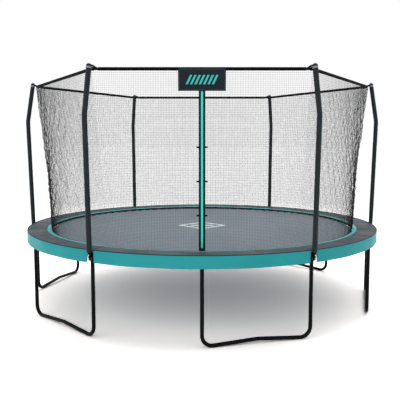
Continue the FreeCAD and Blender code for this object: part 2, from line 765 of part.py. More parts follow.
def make_nuts():
    body = new_body("pole_nuts", FIRST_POLE_TURN)
    seat = f"rail_radius - {SOCKET_DIA} / 2 - bolt_seat_gap"
    corner = "(nut_width / 2 / cos(30))"
    places = [(f"{corner} * cos({60 * side})", f"{corner} * sin({60 * side})") for side in range(6)]
    for name, height in bolt_heights():
        outline = new_sketch(body, f"{name}_nut", "YZ_Plane", ("0", height, seat))
        add_path(outline, places, closed=True)
        add_circle(outline, "bolt_dia + 2 * nut_fit")
        extrude(outline, "nut_height", backwards=True)
    repeat_round(body, "leg_count")


def make_screws():
    """A screw through the socket's outer wall into the post, at each upright without a pole."""
    body = new_body("socket_screws", FRONT_TURN)
    seat = f"(rail_radius + {SOCKET_DIA} / 2 + bolt_seat_gap)"
    places = [
        (f"{seat} - screw_length", "0"),
        (f"{seat} + screw_head_height", "0"),
        (f"{seat} + screw_head_height", "screw_head_dia / 2"),
        (seat, "screw_head_dia / 2"),
        (seat, "bolt_dia / 2"),
        (f"{seat} - screw_length", "bolt_dia / 2"),
    ]
    outline = new_sketch(body, "screw_outline", "XZ_Plane", ("0", "lower_bolt_height", "0"))
    add_path(outline, places, {2: "screw_head_height - head_rim"}, closed=True)
    revolve(outline, axis="H_Axis")
    repeat_round(body, "leg_count")


# Jumping bed


def make_mat():
    """The mat, thicker along its folded hem."""
    body = new_body("jump_mat")
    hem_start = "mat_radius - mat_hem_width"
    places = [
        ("0", "mat_height - mat_thickness / 2"),
        (hem_start, "mat_height - mat_thickness / 2"),
        (hem_start, f"mat_height - {MAT_HEM_THICKNESS} / 2"),
        ("mat_radius", f"mat_height - {MAT_HEM_THICKNESS} / 2"),
        ("mat_radius", f"mat_height + {MAT_HEM_THICKNESS} / 2"),
        (hem_start, f"mat_height + {MAT_HEM_THICKNESS} / 2"),
        (hem_start, "mat_height + mat_thickness / 2"),
        ("0", "mat_height + mat_thickness / 2"),
    ]
    outline = new_sketch(body, "mat_outline", "XZ_Plane")
    add_path(outline, places, closed=True)
    revolve(outline)


def make_mat_rings():
    """Three-cornered wire rings, each with its bar in a webbing loop and its point toward the spring."""
    body = new_body("v_ring", f"{FRONT_TURN} + {SPRING_STEP} / 2")
    spine = new_sketch(body, "v_ring_line", "XY_Plane", ("0", "0", "mat_height"))
    places = [
        (MAT_RING_BAR, "0"),
        (MAT_RING_BAR, "mat_ring_width / 2"),
        (MAT_RING_APEX, "0"),
        (MAT_RING_BAR, "-mat_ring_width / 2"),
        (MAT_RING_BAR, "0"),
    ]
    add_path(spine, places, {index: "mat_ring_bend_radius" for index in (1, 2, 3)})
    section = new_sketch(body, "v_ring_section", "XZ_Plane", (MAT_RING_BAR, "mat_height", "0"))
    add_circle(section, "mat_ring_wire")
    sweep(section, spine)
    copy_round("v_rings", body, "spring_count")


def make_mat_loops():
    """Webbing loops folded round the rings' bars and stitched above and below the mat's hem."""
    body = new_body("ring_loop", f"{FRONT_TURN} + {SPRING_STEP} / 2")
    rise = f"({MAT_HEM_THICKNESS} / 2 + loop_thickness / 2)"
    start = "mat_radius - loop_hold"
    turn = f"{MAT_RING_BAR} + {rise}"
    spine = new_sketch(body, "loop_line", "XZ_Plane")
    above = f"mat_height + {rise}"
    below = f"mat_height - {rise}"
    bend = f"{rise} - {FOLD_FLAT}"
    add_path(spine, [(start, above), (turn, above), (turn, below), (start, below)], {1: bend, 2: bend})
    section = new_sketch(body, "loop_section", "YZ_Plane", ("0", above, start))
    half = "loop_thickness / 2"
    add_rectangle(section, "-loop_width / 2", "loop_width / 2", f"-{half}", half)
    sweep(section, spine)
    copy_round("ring_loops", body, "spring_count")


def make_springs():
    """Springs as plain tubes of the coils' size, with their hooks: one round a mat ring, one into a rail."""
    body = new_body("spring", f"{FRONT_TURN} + {SPRING_STEP} / 2")
    ring_inset = "(mat_ring_bend_radius * (1 / sin(atan(mat_ring_width / 2 / mat_ring_reach)) - 1))"
    start = f"({MAT_RING_APEX} - {ring_inset})"
    slope = f"(atan((rail_height - mat_height) / (rail_radius - rail_dia / 2 - {start})) / 1 deg)"
    place = (start, "mat_height", "0")
    turn = ((0, 0, 1), slope)
    coil_end = "(spring_coil_start + spring_coil_length)"
    outer = "spring_coil_dia / 2"
    coil = new_sketch(body, "spring_coil", "XZ_Plane", place, turn)
    add_rectangle(coil, "spring_coil_start", coil_end, f"{outer} - spring_coil_wall", outer)
    revolve(coil, axis="H_Axis")
    hook_radius = "(mat_ring_wire / 2 + spring_hook_fit + spring_wire / 2)"
    tip = f"(rail_radius - rail_dia / 2 - {start}) / cos({slope}) + spring_tip"
    crossings = {
        "inner_end": "(spring_coil_start + spring_wire)",
        "outer_end": f"({coil_end} - spring_wire)",
    }
    half = "spring_wire / 2"
    for name, along in crossings.items():
        crossing = new_sketch(body, name, "XZ_Plane", place, turn)
        add_rectangle(crossing, f"{along} - {half}", f"{along} + {half}", f"-{half}", half)
        extrude(crossing, "spring_coil_dia - spring_coil_wall", both_ways=True)
    arms = {"inner_arm": (hook_radius, crossings["inner_end"]), "outer_arm": (crossings["outer_end"], tip)}
    for name, (near, far) in arms.items():
        arm = new_sketch(body, name, "XZ_Plane", place, turn)
        add_rectangle(arm, near, far, "0", "spring_arm_dia / 2")
        revolve(arm, axis="H_Axis")
    hook = new_sketch(body, "hook_section", "XY_Plane", (start, "0", "mat_height"))
    add_circle(hook, "spring_wire", (hook_radius, "0"))
    revolve(hook)
    copy_round("springs", body, "spring_count")


# Soft edge


def make_pad():
    """Crowned pad sections with drawn-in sides, a sewn channel at each seam and a notch at each pole."""
    body = new_body("spring_pad", FIRST_POLE_TURN)
    middle = "(pad_inner_radius + pad_outer_radius) / 2"
    places = [
        ("pad_inner_radius", PAD_BOTTOM),
        ("pad_outer_radius", PAD_BOTTOM),
        ("pad_outer_radius", PAD_EDGE),
        (middle, f"{PAD_EDGE} + 2 * pad_crown"),
        ("pad_inner_radius", PAD_EDGE),
    ]
    bends = {
        0: "pad_underside_radius",
        1: "pad_underside_radius",
        2: "pad_shoulder_radius",
        3: "pad_crown_bend_radius",
        4: "pad_shoulder_radius",
    }
    outline = new_sketch(body, "pad_outline", "XZ_Plane")
    add_path(outline, places, bends, closed=True)
    revolve(outline, f"{PAD_STEP} - {SEAM_ANGLE}", back=f"-{SEAM_ANGLE}")
    start = f"(pad_inner_radius - {OVERRUN})"
    crest = f"({PAD_EDGE} + pad_crown)"
    places = [
        ("0", f"{crest} - pad_channel_depth"),
        ("pad_channel_width", f"{crest} + pad_channel_depth"),
        ("-pad_channel_width", f"{crest} + pad_channel_depth"),
    ]
    for name, turn in (("near_channel", "0"), ("far_channel", PAD_STEP)):
        place = (f"{start} * sin({turn})", "0", f"{start} * cos({turn})")
        channel = new_sketch(body, name, "YZ_Plane", place, ((0, 1, 0), turn))
        add_path(channel, places, closed=True)
        extrude(channel, f"pad_outer_radius - pad_inner_radius + 2 * {OVERRUN}", cut=True, backwards=True)
    repeat_round(body, "pad_section_count / leg_count", f"{LEG_STEP} - {PAD_STEP}")
    for name, turn in (("near_notch", "0"), ("far_notch", LEG_STEP)):
        pole = pole_radius_at(PAD_EDGE)
        notch = new_sketch(body, name, "XY_Plane", ("0", "0", f"{PAD_BOTTOM} - {OVERRUN}"))
        add_circle(notch, "pole_notch_dia", (f"{pole} * cos({turn})", f"{pole} * sin({turn})"))
        extrude(notch, f"pad_edge_height + 2 * (pad_crown + {OVERRUN})", cut=True, backwards=True)
    repeat_round(body, "leg_count")


def make_band():
    """The bright band along the pad's inner edge, which slopes down to an upright lip."""
    body = new_body("pad_inner_band", FIRST_POLE_TURN)
    outer = "pad_inner_radius - band_seam"
    places = [
        ("band_inner_radius", PAD_BOTTOM),
        (outer, PAD_BOTTOM),
        (outer, PAD_EDGE),
        ("band_inner_radius", f"{PAD_BOTTOM} + band_inner_edge"),
    ]
    outline = new_sketch(body, "band_outline", "XZ_Plane")
    add_path(outline, places, {2: "band_shoulder_radius", 3: "band_shoulder_radius"}, closed=True)
    revolve(outline, f"{PAD_STEP} - {SEAM_ANGLE}", back=f"-{SEAM_ANGLE}")
    repeat_round(body, "pad_section_count")


def make_skirt():
    """Skirt panels that hang from the pad's outer edge, cut back at each pole."""
    body = new_body("skirt", FIRST_POLE_TURN)
    bottom = f"({SKIRT_TOP} - skirt_depth)"
    outline = new_sketch(body, "skirt_outline", "XZ_Plane")
    add_rectangle(outline, SKIRT_RADIUS, f"{SKIRT_RADIUS} + skirt_thickness", bottom, SKIRT_TOP)
    revolve(outline, f"{PAD_STEP} - {SEAM_ANGLE}", back=f"-{SEAM_ANGLE}")
    repeat_round(body, "pad_section_count / leg_count", f"{LEG_STEP} - {PAD_STEP}")
    places = [
        ("-skirt_slot_bottom_width / 2", f"{bottom} - {OVERRUN}"),
        ("skirt_slot_bottom_width / 2", f"{bottom} - {OVERRUN}"),
        ("skirt_slot_top_width / 2", f"{SKIRT_TOP} + {OVERRUN}"),
        ("-skirt_slot_top_width / 2", f"{SKIRT_TOP} + {OVERRUN}"),
    ]
    for name, turn in (("near_slot", "0"), ("far_slot", LEG_STEP)):
        place = (f"{SKIRT_RADIUS} * sin({turn})", "0", f"{SKIRT_RADIUS} * cos({turn})")
        slot = new_sketch(body, name, "YZ_Plane", place, ((0, 1, 0), turn))
        add_path(slot, places, closed=True)
        extrude(slot, f"2 * (skirt_thickness + {OVERRUN})", cut=True, both_ways=True)
    repeat_round(body, "leg_count")


# Safety net


def door_turn():
    """Turn from the front to the end of the net's flat stretch beside the door."""
    return math.degrees(math.asin(value("door_flat_width") / 2 / value("net_base_radius")))


def net_point(turn, share, outward):
    """A point of the net: turn from the front in degrees, share of the height, and distance outward."""
    step = 360 / value("leg_count")
    edge = value(RING_EDGE_RADIUS)
    corner = value("ring_corner_radius")
    base = value("net_base_radius")
    top = edge / math.cos(math.radians((turn + step / 2) % step - step / 2))
    bow = value("net_bow") * (top - edge) / (corner - edge)
    angle = math.radians(turn)
    radius = base + (top - base) * share - bow * 4 * share * (1 - share) + outward
    if math.cos(angle) >= math.cos(math.radians(door_turn())):
        radius = (base + (edge - base) * share + outward) / math.cos(angle)
    height = value("net_base_height") + value(NET_RISE) * share
    return FreeCAD.Vector(radius * math.sin(angle), -radius * math.cos(angle), height)


def net_panel(turns):
    """One panel of the net through these turns, with its lower hem, as a loft through level sections."""
    hem = value("net_hem_height") / value(NET_RISE)
    levels = [(0, "net_hem_thickness"), (hem, "net_hem_thickness"), (hem * HEM_TAPER, "net_thickness")]
    levels += [((step + 1) / NET_LEVELS, "net_thickness") for step in range(NET_LEVELS)]
    sections = []
    for share, thickness in levels:
        half = value(thickness) / 2
        corners = [(turn, -half) for turn in turns] + [(turn, half) for turn in reversed(turns)]
        points = [net_point(turn, share, outward) for turn, outward in corners]
        sections.append(Part.makePolygon(points + points[:1]))
    return Part.makeLoft(sections, True, True)


def make_net():
    """Net panels that hang from the top sleeve to the mat's edge, parted at the door."""
    count = round(value("net_panel_count"))
    step = 360 / count
    base = value("net_base_radius")
    seam = math.degrees(value("net_seam") / 2 / base)
    door = math.degrees(value("net_door_gap") / 2 / base)
    panels = []
    for index in range(count):
        turns = [index * step + seam, (index + 1) * step - seam]
        if index == 0:
            turns = [door, door_turn(), turns[1]]
        elif index == count - 1:
            turns = [turns[0], 360 - door_turn(), 360 - door]
        panels.append(net_panel(turns))
    net = document.addObject("Part::Feature", "safety_net")
    net.Label = "safety_net"
    net.Shape = Part.makeCompound(panels)
    nodes.append(net)


# Door. Its bodies stand in the net's front: X to the right, Z up along the sloping zip, -Y outward


def door_body(label):
    body = new_body(label)
    body.Placement = FreeCAD.Placement(FreeCAD.Vector(), FreeCAD.Rotation(FreeCAD.Vector(1, 0, 0), 1))
    bind(body, "Placement.Rotation.Angle", f"-{DOOR_TILT}")
    bind(body, "Placement.Base.y", "-net_base_radius")
    bind(body, "Placement.Base.z", "net_base_height")
    return body


def front_sketch(body, name, outward):
    """A sketch parallel to the door at a distance outward from the net's middle."""
    return new_sketch(body, name, "XZ_Plane", ("0", "0", outward))


def make_door_bands():
    body = door_body("door_webbing")
    for name, side in (("left", "-"), ("right", "")):
        near = f"{side}(zip_width / 2 + door_layer_gap)"
        far = f"{side}door_band_width / 2"
        band = front_sketch(body, f"{name}_band", DOOR_FACE)
        add_rectangle(band, near, far, "door_base", f"{DOOR_LENGTH} - door_top_margin")
        extrude(band, "door_band_thickness")


def make_zip():
    """Zip tape with its raised chain and a stop at each end."""
    body = door_body("zip_tape")
    top = f"{DOOR_LENGTH} - door_top_margin"
    tape = front_sketch(body, "tape", DOOR_FACE)
    add_rectangle(tape, "-zip_width / 2", "zip_width / 2", "door_base", top)
    extrude(tape, "door_band_thickness")
    chain = front_sketch(body, "chain", ZIP_FACE)
    half = "zip_chain_width / 2"
    add_rectangle(chain, f"-{half}", half, "door_base", top)
    extrude(chain, "zip_chain_height")
    stops = {"bottom_stop": "slider_base - 3 * zip_stop_length", "top_stop": f"{top} - 2 * zip_stop_length"}
    for name, base in stops.items():
        stop = front_sketch(body, name, ZIP_FACE)
        add_rectangle(stop, "-zip_stop_width / 2", "zip_stop_width / 2", base, f"{base} + zip_stop_length")
        extrude(stop, "zip_chain_height")


def make_slider():
    """The zip's slider: a saddle over the chain, with two lugs and the pin that carries the pull."""
    body = door_body("zip_slider")
    saddle = new_sketch(body, "saddle", "XY_Plane", ("0", "0", "slider_base"))
    cavity = "(zip_chain_width / 2 + slider_fit)"
    roof = f"-({ZIP_FACE} + zip_chain_height + slider_fit)"
    places = [
        ("-slider_width / 2", f"-{SLIDER_BACK}"),
        (f"-{cavity}", f"-{SLIDER_BACK}"),
        (f"-{cavity}", roof),
        (cavity, roof),
        (cavity, f"-{SLIDER_BACK}"),
        ("slider_width / 2", f"-{SLIDER_BACK}"),
        ("slider_width / 2", f"-{SLIDER_FACE}"),
        ("-slider_width / 2", f"-{SLIDER_FACE}"),
    ]
    add_path(saddle, places, {6: "slider_bend_radius", 7: "slider_bend_radius"}, closed=True)
    extrude(saddle, "slider_length")
    lug_inner = "(pull_width / 2 + pull_fit)"
    lug_front = f"-({SLIDER_FACE} + slider_lug_reach)"
    for name, side in (("left_lug", -1), ("right_lug", 1)):
        lug = new_sketch(body, name, "XY_Plane", ("0", "0", "slider_base"))
        near = f"{side} * {lug_inner}"
        far = f"{side} * ({lug_inner} + slider_lug_width)"
        add_rectangle(lug, near, far, lug_front, f"-({SLIDER_FACE} - slider_wall / 2)")
        extrude(lug, "slider_lug_length")
    pin_sketch = new_sketch(body, "pull_pin", "YZ_Plane")
    add_circle(pin_sketch, "pull_pin_dia", (f"-{PULL_PIN_OUT}", PULL_PIN_HEIGHT))
    extrude(pin_sketch, f"2 * {lug_inner} + slider_lug_width", both_ways=True)


def make_pull():
    """The pull tab, with its eye round the slider's pin."""
    body = door_body("zip_pull")
    eye = new_sketch(body, "pull_eye", "YZ_Plane")
    place = (f"-{PULL_PIN_OUT}", PULL_PIN_HEIGHT)
    add_circle(eye, PULL_EYE, place)
    extrude(eye, "pull_width", both_ways=True)
    tab = new_sketch(body, "pull_tab", "XZ_Plane", ("0", "0", f"{PULL_PIN_OUT} - pull_thickness / 2"))
    tip = f"{PULL_PIN_HEIGHT} - pull_length"
    places = [
        ("-pull_width / 2", PULL_PIN_HEIGHT),
        ("-pull_width / 2", tip),
        ("pull_width / 2", tip),
        ("pull_width / 2", PULL_PIN_HEIGHT),
    ]
    add_path(tab, places, {1: "pull_width / 3", 2: "pull_width / 3"}, closed=True)
    extrude(tab, "pull_thickness")
    bore = new_sketch(body, "pull_bore", "YZ_Plane")
    add_circle(bore, PULL_BORE, place)
    extrude(bore, "2 * pull_width", cut=True, both_ways=True)


def buckle_height(index):
    return f"(buckle_base + {index} * buckle_step)"


def inner_box(body, name, bounds, face, thickness):
    """A block on the door's inner side: left, right, bottom and top, from a face inward by a thickness."""
    block = front_sketch(body, name, f"-({face})")
    add_rectangle(block, *bounds)
    extrude(block, thickness, backwards=True)


def make_buckle_straps():
    """A strap on each side of the door at every buckle."""
    body = door_body("buckle_straps")
    for index in range(DIMENSIONS["buckle_count"]):
        low = f"{buckle_height(index)} - buckle_strap_width / 2"
        high = f"{buckle_height(index)} + buckle_strap_width / 2"
        for name, side in (("left", -1), ("right", 1)):
            near = f"{side} * net_door_gap / 2"
            far = f"{side} * buckle_strap_span / 2"
            bounds = (near, far, low, high)
            inner_box(body, f"{name}_strap_{index + 1}", bounds, BUCKLE_STRAP_FACE, "buckle_strap_thickness")


def make_buckle_sockets():
    """Buckle sockets, each open toward its tongue."""
    body = door_body("buckle_sockets")
    left = "(buckle_socket_length - buckle_prong_length / 2)"
    right = "(buckle_prong_length / 2)"
    for index in range(DIMENSIONS["buckle_count"]):
        middle = buckle_height(index)
        bounds = (f"-{left}", right, f"{middle} - buckle_width / 2", f"{middle} + buckle_width / 2")
        inner_box(body, f"socket_{index + 1}", bounds, BUCKLE_BACK, "buckle_thickness")
        cavity = new_sketch(body, f"cavity_{index + 1}", "YZ_Plane", ("0", "0", right))
        near = f"{BUCKLE_BACK} + buckle_wall"
        far = f"{near} + {BUCKLE_CAVITY_DEPTH}"
        half = f"{BUCKLE_CAVITY} / 2"
        add_rectangle(cavity, near, far, f"{middle} - {half}", f"{middle} + {half}")
        extrude(cavity, "buckle_prong_length + 2 * buckle_prong_fit", cut=True)


def make_buckle_tongue(index):
    """One buckle's tongue, with its prongs inside the socket."""
    body = door_body(f"buckle_tongue_{index + 1}")
    middle = buckle_height(index)
    mouth = "(buckle_prong_length / 2)"
    grip = f"{mouth} + buckle_prong_fit"
    half = "buckle_width / 2"
    bounds = (grip, f"{grip} + buckle_tongue_length", f"{middle} - {half}", f"{middle} + {half}")
    inner_box(body, "grip", bounds, BUCKLE_BACK, "buckle_thickness")
    prong_half = f"({BUCKLE_CAVITY} / 2 - buckle_prong_fit)"
    root = f"{grip} + buckle_wall"
    bounds = (f"-{mouth}", root, f"{middle} - {prong_half}", f"{middle} + {prong_half}")
    prong_face = f"{BUCKLE_BACK} + buckle_wall + buckle_prong_fit"
    inner_box(body, "prongs", bounds, prong_face, f"{BUCKLE_CAVITY_DEPTH} - 2 * buckle_prong_fit")
    slot = front_sketch(body, "strap_slot", f"-({BUCKLE_BACK})")
    left = f"{grip} + buckle_tongue_length - 3 * buckle_wall"
    right = f"{left} + 1.5 * buckle_wall"
    slot_half = "(buckle_width / 2 - buckle_wall)"
    add_rectangle(slot, left, right, f"{middle} - {slot_half}", f"{middle} + {slot_half}")
    extrude(slot, "buckle_thickness", cut=True)


def make_banner():
    """The banner: one sheet that hangs outside the net, folds over the front rod and ends inside."""
    body = new_body("banner", FRONT_TURN)
    outside = f"({RING_EDGE_RADIUS} + {BANNER_RADIUS})"
    inside = f"({RING_EDGE_RADIUS} - {BANNER_RADIUS})"
    crest = f"(ring_height + {BANNER_RADIUS})"
    spine = new_sketch(body, "banner_line", "XZ_Plane")
    places = [
        (outside, "banner_base_height"),
        (outside, crest),
        (inside, crest),
        (inside, "ring_height - banner_back_drop"),
    ]
    bend = f"{BANNER_RADIUS} - {FOLD_FLAT}"
    add_path(spine, places, {1: bend, 2: bend})
    section = new_sketch(body, "banner_section", "XY_Plane", (outside, "0", "banner_base_height"))
    half = "banner_thickness / 2"
    add_rectangle(section, f"-{half}", half, "-banner_width / 2", "banner_width / 2")
    sweep(section, spine)


def build():
    for index in range(2 * DIMENSIONS["leg_count"]):
        make_rail(index)
    make_sockets()
    make_posts()
    make_lower_tubes()
    for index in range(DIMENSIONS["leg_count"]):
        make_leg(index)
        make_pole(index)
        make_sleeve(index)
    make_caps()
    make_corner_straps()
    make_ring_rods()
    make_ring_elbows()
    make_net_hem()
    make_spacers()
    make_bolts()
    make_nuts()
    make_screws()
    make_mat()
    make_mat_rings()
    make_mat_loops()
    make_springs()
    make_pad()
    make_band()
    make_skirt()
    make_net()
    make_door_bands()
    make_zip()
    make_slider()
    make_pull()
    make_buckle_straps()
    make_buckle_sockets()
    for index in range(DIMENSIONS["buckle_count"]):
        make_buckle_tongue(index)
    make_banner()
    document.recompute()


def check():
    """Stops the script if any object of the document failed or any node's shape isn't sound."""
    for item in document.Objects:
        if "Invalid" in item.State or "Error" in item.State:
            raise RuntimeError(f"{item.Label} failed: {item.State}")
    for node in nodes:
        if node.Shape.isNull() or not node.Shape.isValid() or not node.Shape.Solids:
            raise RuntimeError(f"{node.Label} has no sound shape")


def export():
    os.makedirs("parts", exist_ok=True)
    for node in nodes:
        node.Shape.exportStep(f"parts/{node.Label}.step")
        print(f"{node.Label}: {len(node.Shape.Solids)} solids")


build()
check()
export()
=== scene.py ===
"""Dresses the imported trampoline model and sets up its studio.

Lengths are metres in the model's own frame: +Z up, the door towards -Y. A turn is an angle about +Z
in radians, counted from the front, counter-clockwise seen from above, so a quarter turn is +X.
"""

import logging
import math
from dataclasses import dataclass
from enum import Enum

import bpy
import numpy as np
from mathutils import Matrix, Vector


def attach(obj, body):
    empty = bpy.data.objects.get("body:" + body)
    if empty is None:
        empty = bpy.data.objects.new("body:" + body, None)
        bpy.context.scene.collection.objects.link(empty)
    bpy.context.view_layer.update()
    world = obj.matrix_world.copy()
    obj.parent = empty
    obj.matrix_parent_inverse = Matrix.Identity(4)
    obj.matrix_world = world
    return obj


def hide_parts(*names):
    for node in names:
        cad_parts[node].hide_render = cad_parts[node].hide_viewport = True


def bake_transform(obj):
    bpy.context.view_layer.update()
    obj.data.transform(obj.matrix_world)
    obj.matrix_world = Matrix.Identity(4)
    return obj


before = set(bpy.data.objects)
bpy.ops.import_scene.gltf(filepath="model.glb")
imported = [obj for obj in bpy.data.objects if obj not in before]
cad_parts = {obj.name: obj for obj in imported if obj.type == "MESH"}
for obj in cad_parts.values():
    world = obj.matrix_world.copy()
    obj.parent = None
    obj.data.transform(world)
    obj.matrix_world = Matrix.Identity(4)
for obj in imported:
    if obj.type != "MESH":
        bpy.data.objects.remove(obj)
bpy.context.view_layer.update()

LOG = logging.getLogger("trampoline")
Array = np.ndarray
OUTWARD, SIDEWAYS, UP = np.eye(3)
SIDES = 6
FULL_TURN = 2 * math.pi
EDGE_TURN = FULL_TURN / SIDES
CORNER_TURNS = EDGE_TURN / 2 + np.arange(SIDES) * EDGE_TURN
# Angle round a profile at which its b is lowest
LOWEST = 0.75 * FULL_TURN
# Places that several sub-assemblies share: the top ring, the poles' tops as outward and up, and the net
RING_HEIGHT = 2.781
RING_CORNER = 2.215
RING_EDGE = RING_CORNER * math.cos(EDGE_TURN / 2)
POLE_TOP = (2.268, 2.780)
NET_RADIUS = 1.990
NET_BASE = 0.9126
NET_RISE = 1.851


class Body(str, Enum):
    """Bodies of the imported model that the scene's own pieces ride on."""

    FRAME = "frame_body"
    MAT = "mat_body"


class Hold(str, Enum):
    """How a sheet of cloth is held."""

    HUNG = "hung"
    STRETCHED = "stretched"
    FOLDED = "folded"


# Surfaces


@dataclass(frozen=True)
class Surface:
    """Points, faces and a cloth map in metres.

    Attributes:
        points: One row of x, y, z to a point.
        faces: One list of point numbers to a face.
        cloth: One row of u, v to each corner of each face, in order.
    """

    points: Array
    faces: list[list[int]]
    cloth: Array


def spread(*parts: Array | float) -> Array:
    """Points from coordinates of any shapes that fit each other, on a new last axis."""
    return np.stack(np.broadcast_arrays(*parts), -1)


def unit(vectors: Array) -> Array:
    """Vectors along the last axis, brought to length 1."""
    return vectors / np.linalg.norm(vectors, axis=-1, keepdims=True)


def around(radius: Array | float, turn: Array | float, height: Array | float) -> Array:
    """Points round the vertical axis: x = r sin t, y = -r cos t.

    Args:
        radius: Distance from the axis.
        turn: Angle from the front, in radians.
        height: Height above the ground.

    Returns:
        An array whose last axis holds x, y, z.
    """
    return spread(radius * np.sin(turn), -radius * np.cos(turn), height)


def level_out(points: Array) -> Array:
    """Level unit vectors from the vertical axis to each point."""
    return unit(points * (1.0, 1.0, 0.0))


def upright(line: Array) -> Array:
    """A flat line of outward and up as points in local coordinates."""
    return spread(line[:, 0], 0.0, line[:, 1])


def leaning(lean: float) -> tuple[Array, Array]:
    """Outward and up of a thing that leans outward by an angle, in local coordinates."""
    sine, cosine = math.sin(lean), math.cos(lean)
    return cosine * OUTWARD - sine * UP, sine * OUTWARD + cosine * UP


def turned(points: Array, turn: float) -> Array:
    """Local points (outward, along the turn, up) set at a turn about the vertical axis.

    Args:
        points: Points whose last axis holds outward, sideways and up.
        turn: Angle from the front, in radians.

    Returns:
        The points in the model's frame.
    """
    outward, along, up = np.moveaxis(points, -1, 0)
    sine, cosine = math.sin(turn), math.cos(turn)
    return np.stack([outward * sine + along * cosine, -outward * cosine + along * sine, up], -1)


def grid(points: Array, across: Array, along: Array, wrap: tuple[bool, bool] = (False, False)) -> Surface:
    """Quads over a grid of points, facing the way that the first axis crossed with the second gives.

    Args:
        points: Grid of points, rows by columns by 3.
        across: Cloth coordinate of each row, and of the first row again if rows wrap.
        along: Cloth coordinate of each column, and of the first column again if columns wrap.
        wrap: Whether the rows and the columns close on themselves.

    Returns:
        The surface.
    """
    rows, columns = points.shape[:2]
    first, second = np.indices((rows - (not wrap[0]), columns - (not wrap[1]))).reshape(2, -1, 1)
    row, column = first + [0, 1, 1, 0], second + [0, 0, 1, 1]
    faces = (row % rows) * columns + column % columns
    cloth = np.stack([np.asarray(across, float)[row], np.asarray(along, float)[column]], -1)
    return Surface(points.reshape(-1, 3), faces.tolist(), cloth.reshape(-1, 2))


def joined(surfaces: list[Surface]) -> Surface:
    """Several surfaces as one, with their points numbered on.

    Args:
        surfaces: The surfaces, in order.

    Returns:
        The joined surface.
    """
    starts = np.cumsum([0] + [len(s.points) for s in surfaces[:-1]])
    faces = [[k + int(start) for k in face] for s, start in zip(surfaces, starts) for face in s.faces]
    points, cloth = (np.concatenate([getattr(s, part) for s in surfaces]) for part in ("points", "cloth"))
    return Surface(points, faces, cloth)


def repeated(surface: Surface, turns: Array) -> Surface:
    """Copies of a surface in local coordinates, each set at a turn.

    Args:
        surface: Points hold outward, sideways and up.
        turns: Angle of each copy.

    Returns:
        The copies as one surface in the model's frame.
    """
    return joined([Surface(turned(surface.points, turn), surface.faces, surface.cloth) for turn in turns])


def lengths(points: Array) -> Array:
    """Distance along a line of points to each of them."""
    return np.concatenate([[0.0], np.cumsum(np.linalg.norm(np.diff(points, axis=0), axis=1))])


def girth(line: Array) -> Array:
    """Distance round a closed line to each of its points and back to the first."""
    return lengths(np.vstack([line, line[:1]]))


def flipped(surface: Surface) -> Surface:
    """A surface of quads that faces the other way."""
    cloth = surface.cloth.reshape(-1, 4, 2)[:, ::-1].reshape(-1, 2)
    return Surface(surface.points, [face[::-1] for face in surface.faces], cloth)


def capped(surface: Surface, rows: int, size: int) -> Surface:
    """Closes a grid whose columns wrap with one face on its first row and one on its last.

    Args:
        surface: The grid.
        rows: Number of its rows.
        size: Number of points in each row.

    Returns:
        The closed surface, whose caps face as its quads do.
    """
    first = list(range(size))
    last = list(range(rows * size - 1, (rows - 1) * size - 1, -1))
    # A grid as it is made has its first cap in order, and one turned over has it reversed
    if surface.faces[0][:2] != [0, size]:
        first, last = first[::-1], last[::-1]
    cloth = np.vstack([surface.cloth, np.zeros((2 * size, 2))])
    return Surface(surface.points, surface.faces + [first, last], cloth)


def rise_of(path: Array, side: Array, closed: bool = False) -> tuple[Array, Array]:
    """The two directions square to a path that carry a profile's a and b.

    Args:
        path: Points of the path.
        side: Unit vector square to the path, one for all points or one for each.
        closed: Whether the path ends where it starts, with its first point not repeated.

    Returns:
        The side at every point, and tangent x side.
    """
    tangent = np.roll(path, -1, 0) - np.roll(path, 1, 0) if closed else np.gradient(path, axis=0)
    side = np.broadcast_to(side, path.shape)
    return side, np.cross(unit(tangent), side)


def loft(path: Array, side: Array, rise: Array, outlines: Array, closed: bool) -> Surface:
    """Quads through outlines set square to a path: point = path + a side + b rise.

    Args:
        path: Points of the path.
        side: Direction of a at each point.
        rise: Direction of b at each point.
        outlines: Counter-clockwise closed outline at each point, as rows of a, b.
        closed: Whether the last outline joins the first.

    Returns:
        The surface, facing out, whose cloth map has u round the outline and v along the path.
    """
    points = path[:, None] + outlines[..., :1] * side[:, None] + outlines[..., 1:] * rise[:, None]
    line = np.vstack([path, path[:1]]) if closed else path
    surface = flipped(grid(points, lengths(line), girth(outlines[len(outlines) // 2]), (closed, True)))
    return Surface(surface.points, surface.faces, surface.cloth[:, ::-1])


def sweep(path: Array, side: Array, profile: Array, closed: bool = False) -> Surface:
    """A profile carried along a path, with both ends closed.

    Args:
        path: Points of the path.
        side: Unit vector square to the path, one for all points or one for each.
        profile: Counter-clockwise outline as rows of a, b, or one such outline for each point of the path.
        closed: Whether the path ends where it starts, with its first point not repeated.

    Returns:
        The closed surface.
    """
    outlines = np.broadcast_to(profile, (len(path),) + profile.shape[-2:])
    surface = loft(path, *rise_of(path, side, closed), outlines, closed)
    return surface if closed else capped(surface, len(path), outlines.shape[1])


def sheath(path: Array, side: Array, radius: Array, bore: float) -> Surface:
    """A hollow sleeve round a path: out along its outer face and back along its bore.

    Args:
        path: Points of the middle line.
        side: Unit vector square to the path.
        radius: Outer radius by point and by angle.
        bore: Inner radius.

    Returns:
        The closed surface.
    """
    ring = circle(1.0, radius.shape[1])
    there_and_back = [np.vstack([each, each[::-1]]) for each in (path, *rise_of(path, side))]
    outer = radius[..., None] * ring
    inner = np.broadcast_to(bore * ring, outer.shape)
    return loft(*there_and_back, np.concatenate([outer, inner]), True)


def direction(angle: Array) -> Array:
    """Unit vectors at angles: a is the cosine and b the sine."""
    return np.stack([np.cos(angle), np.sin(angle)], -1)


def even_angles(count: int) -> Array:
    """Angles of points set evenly round a circle."""
    return np.arange(count) * FULL_TURN / count


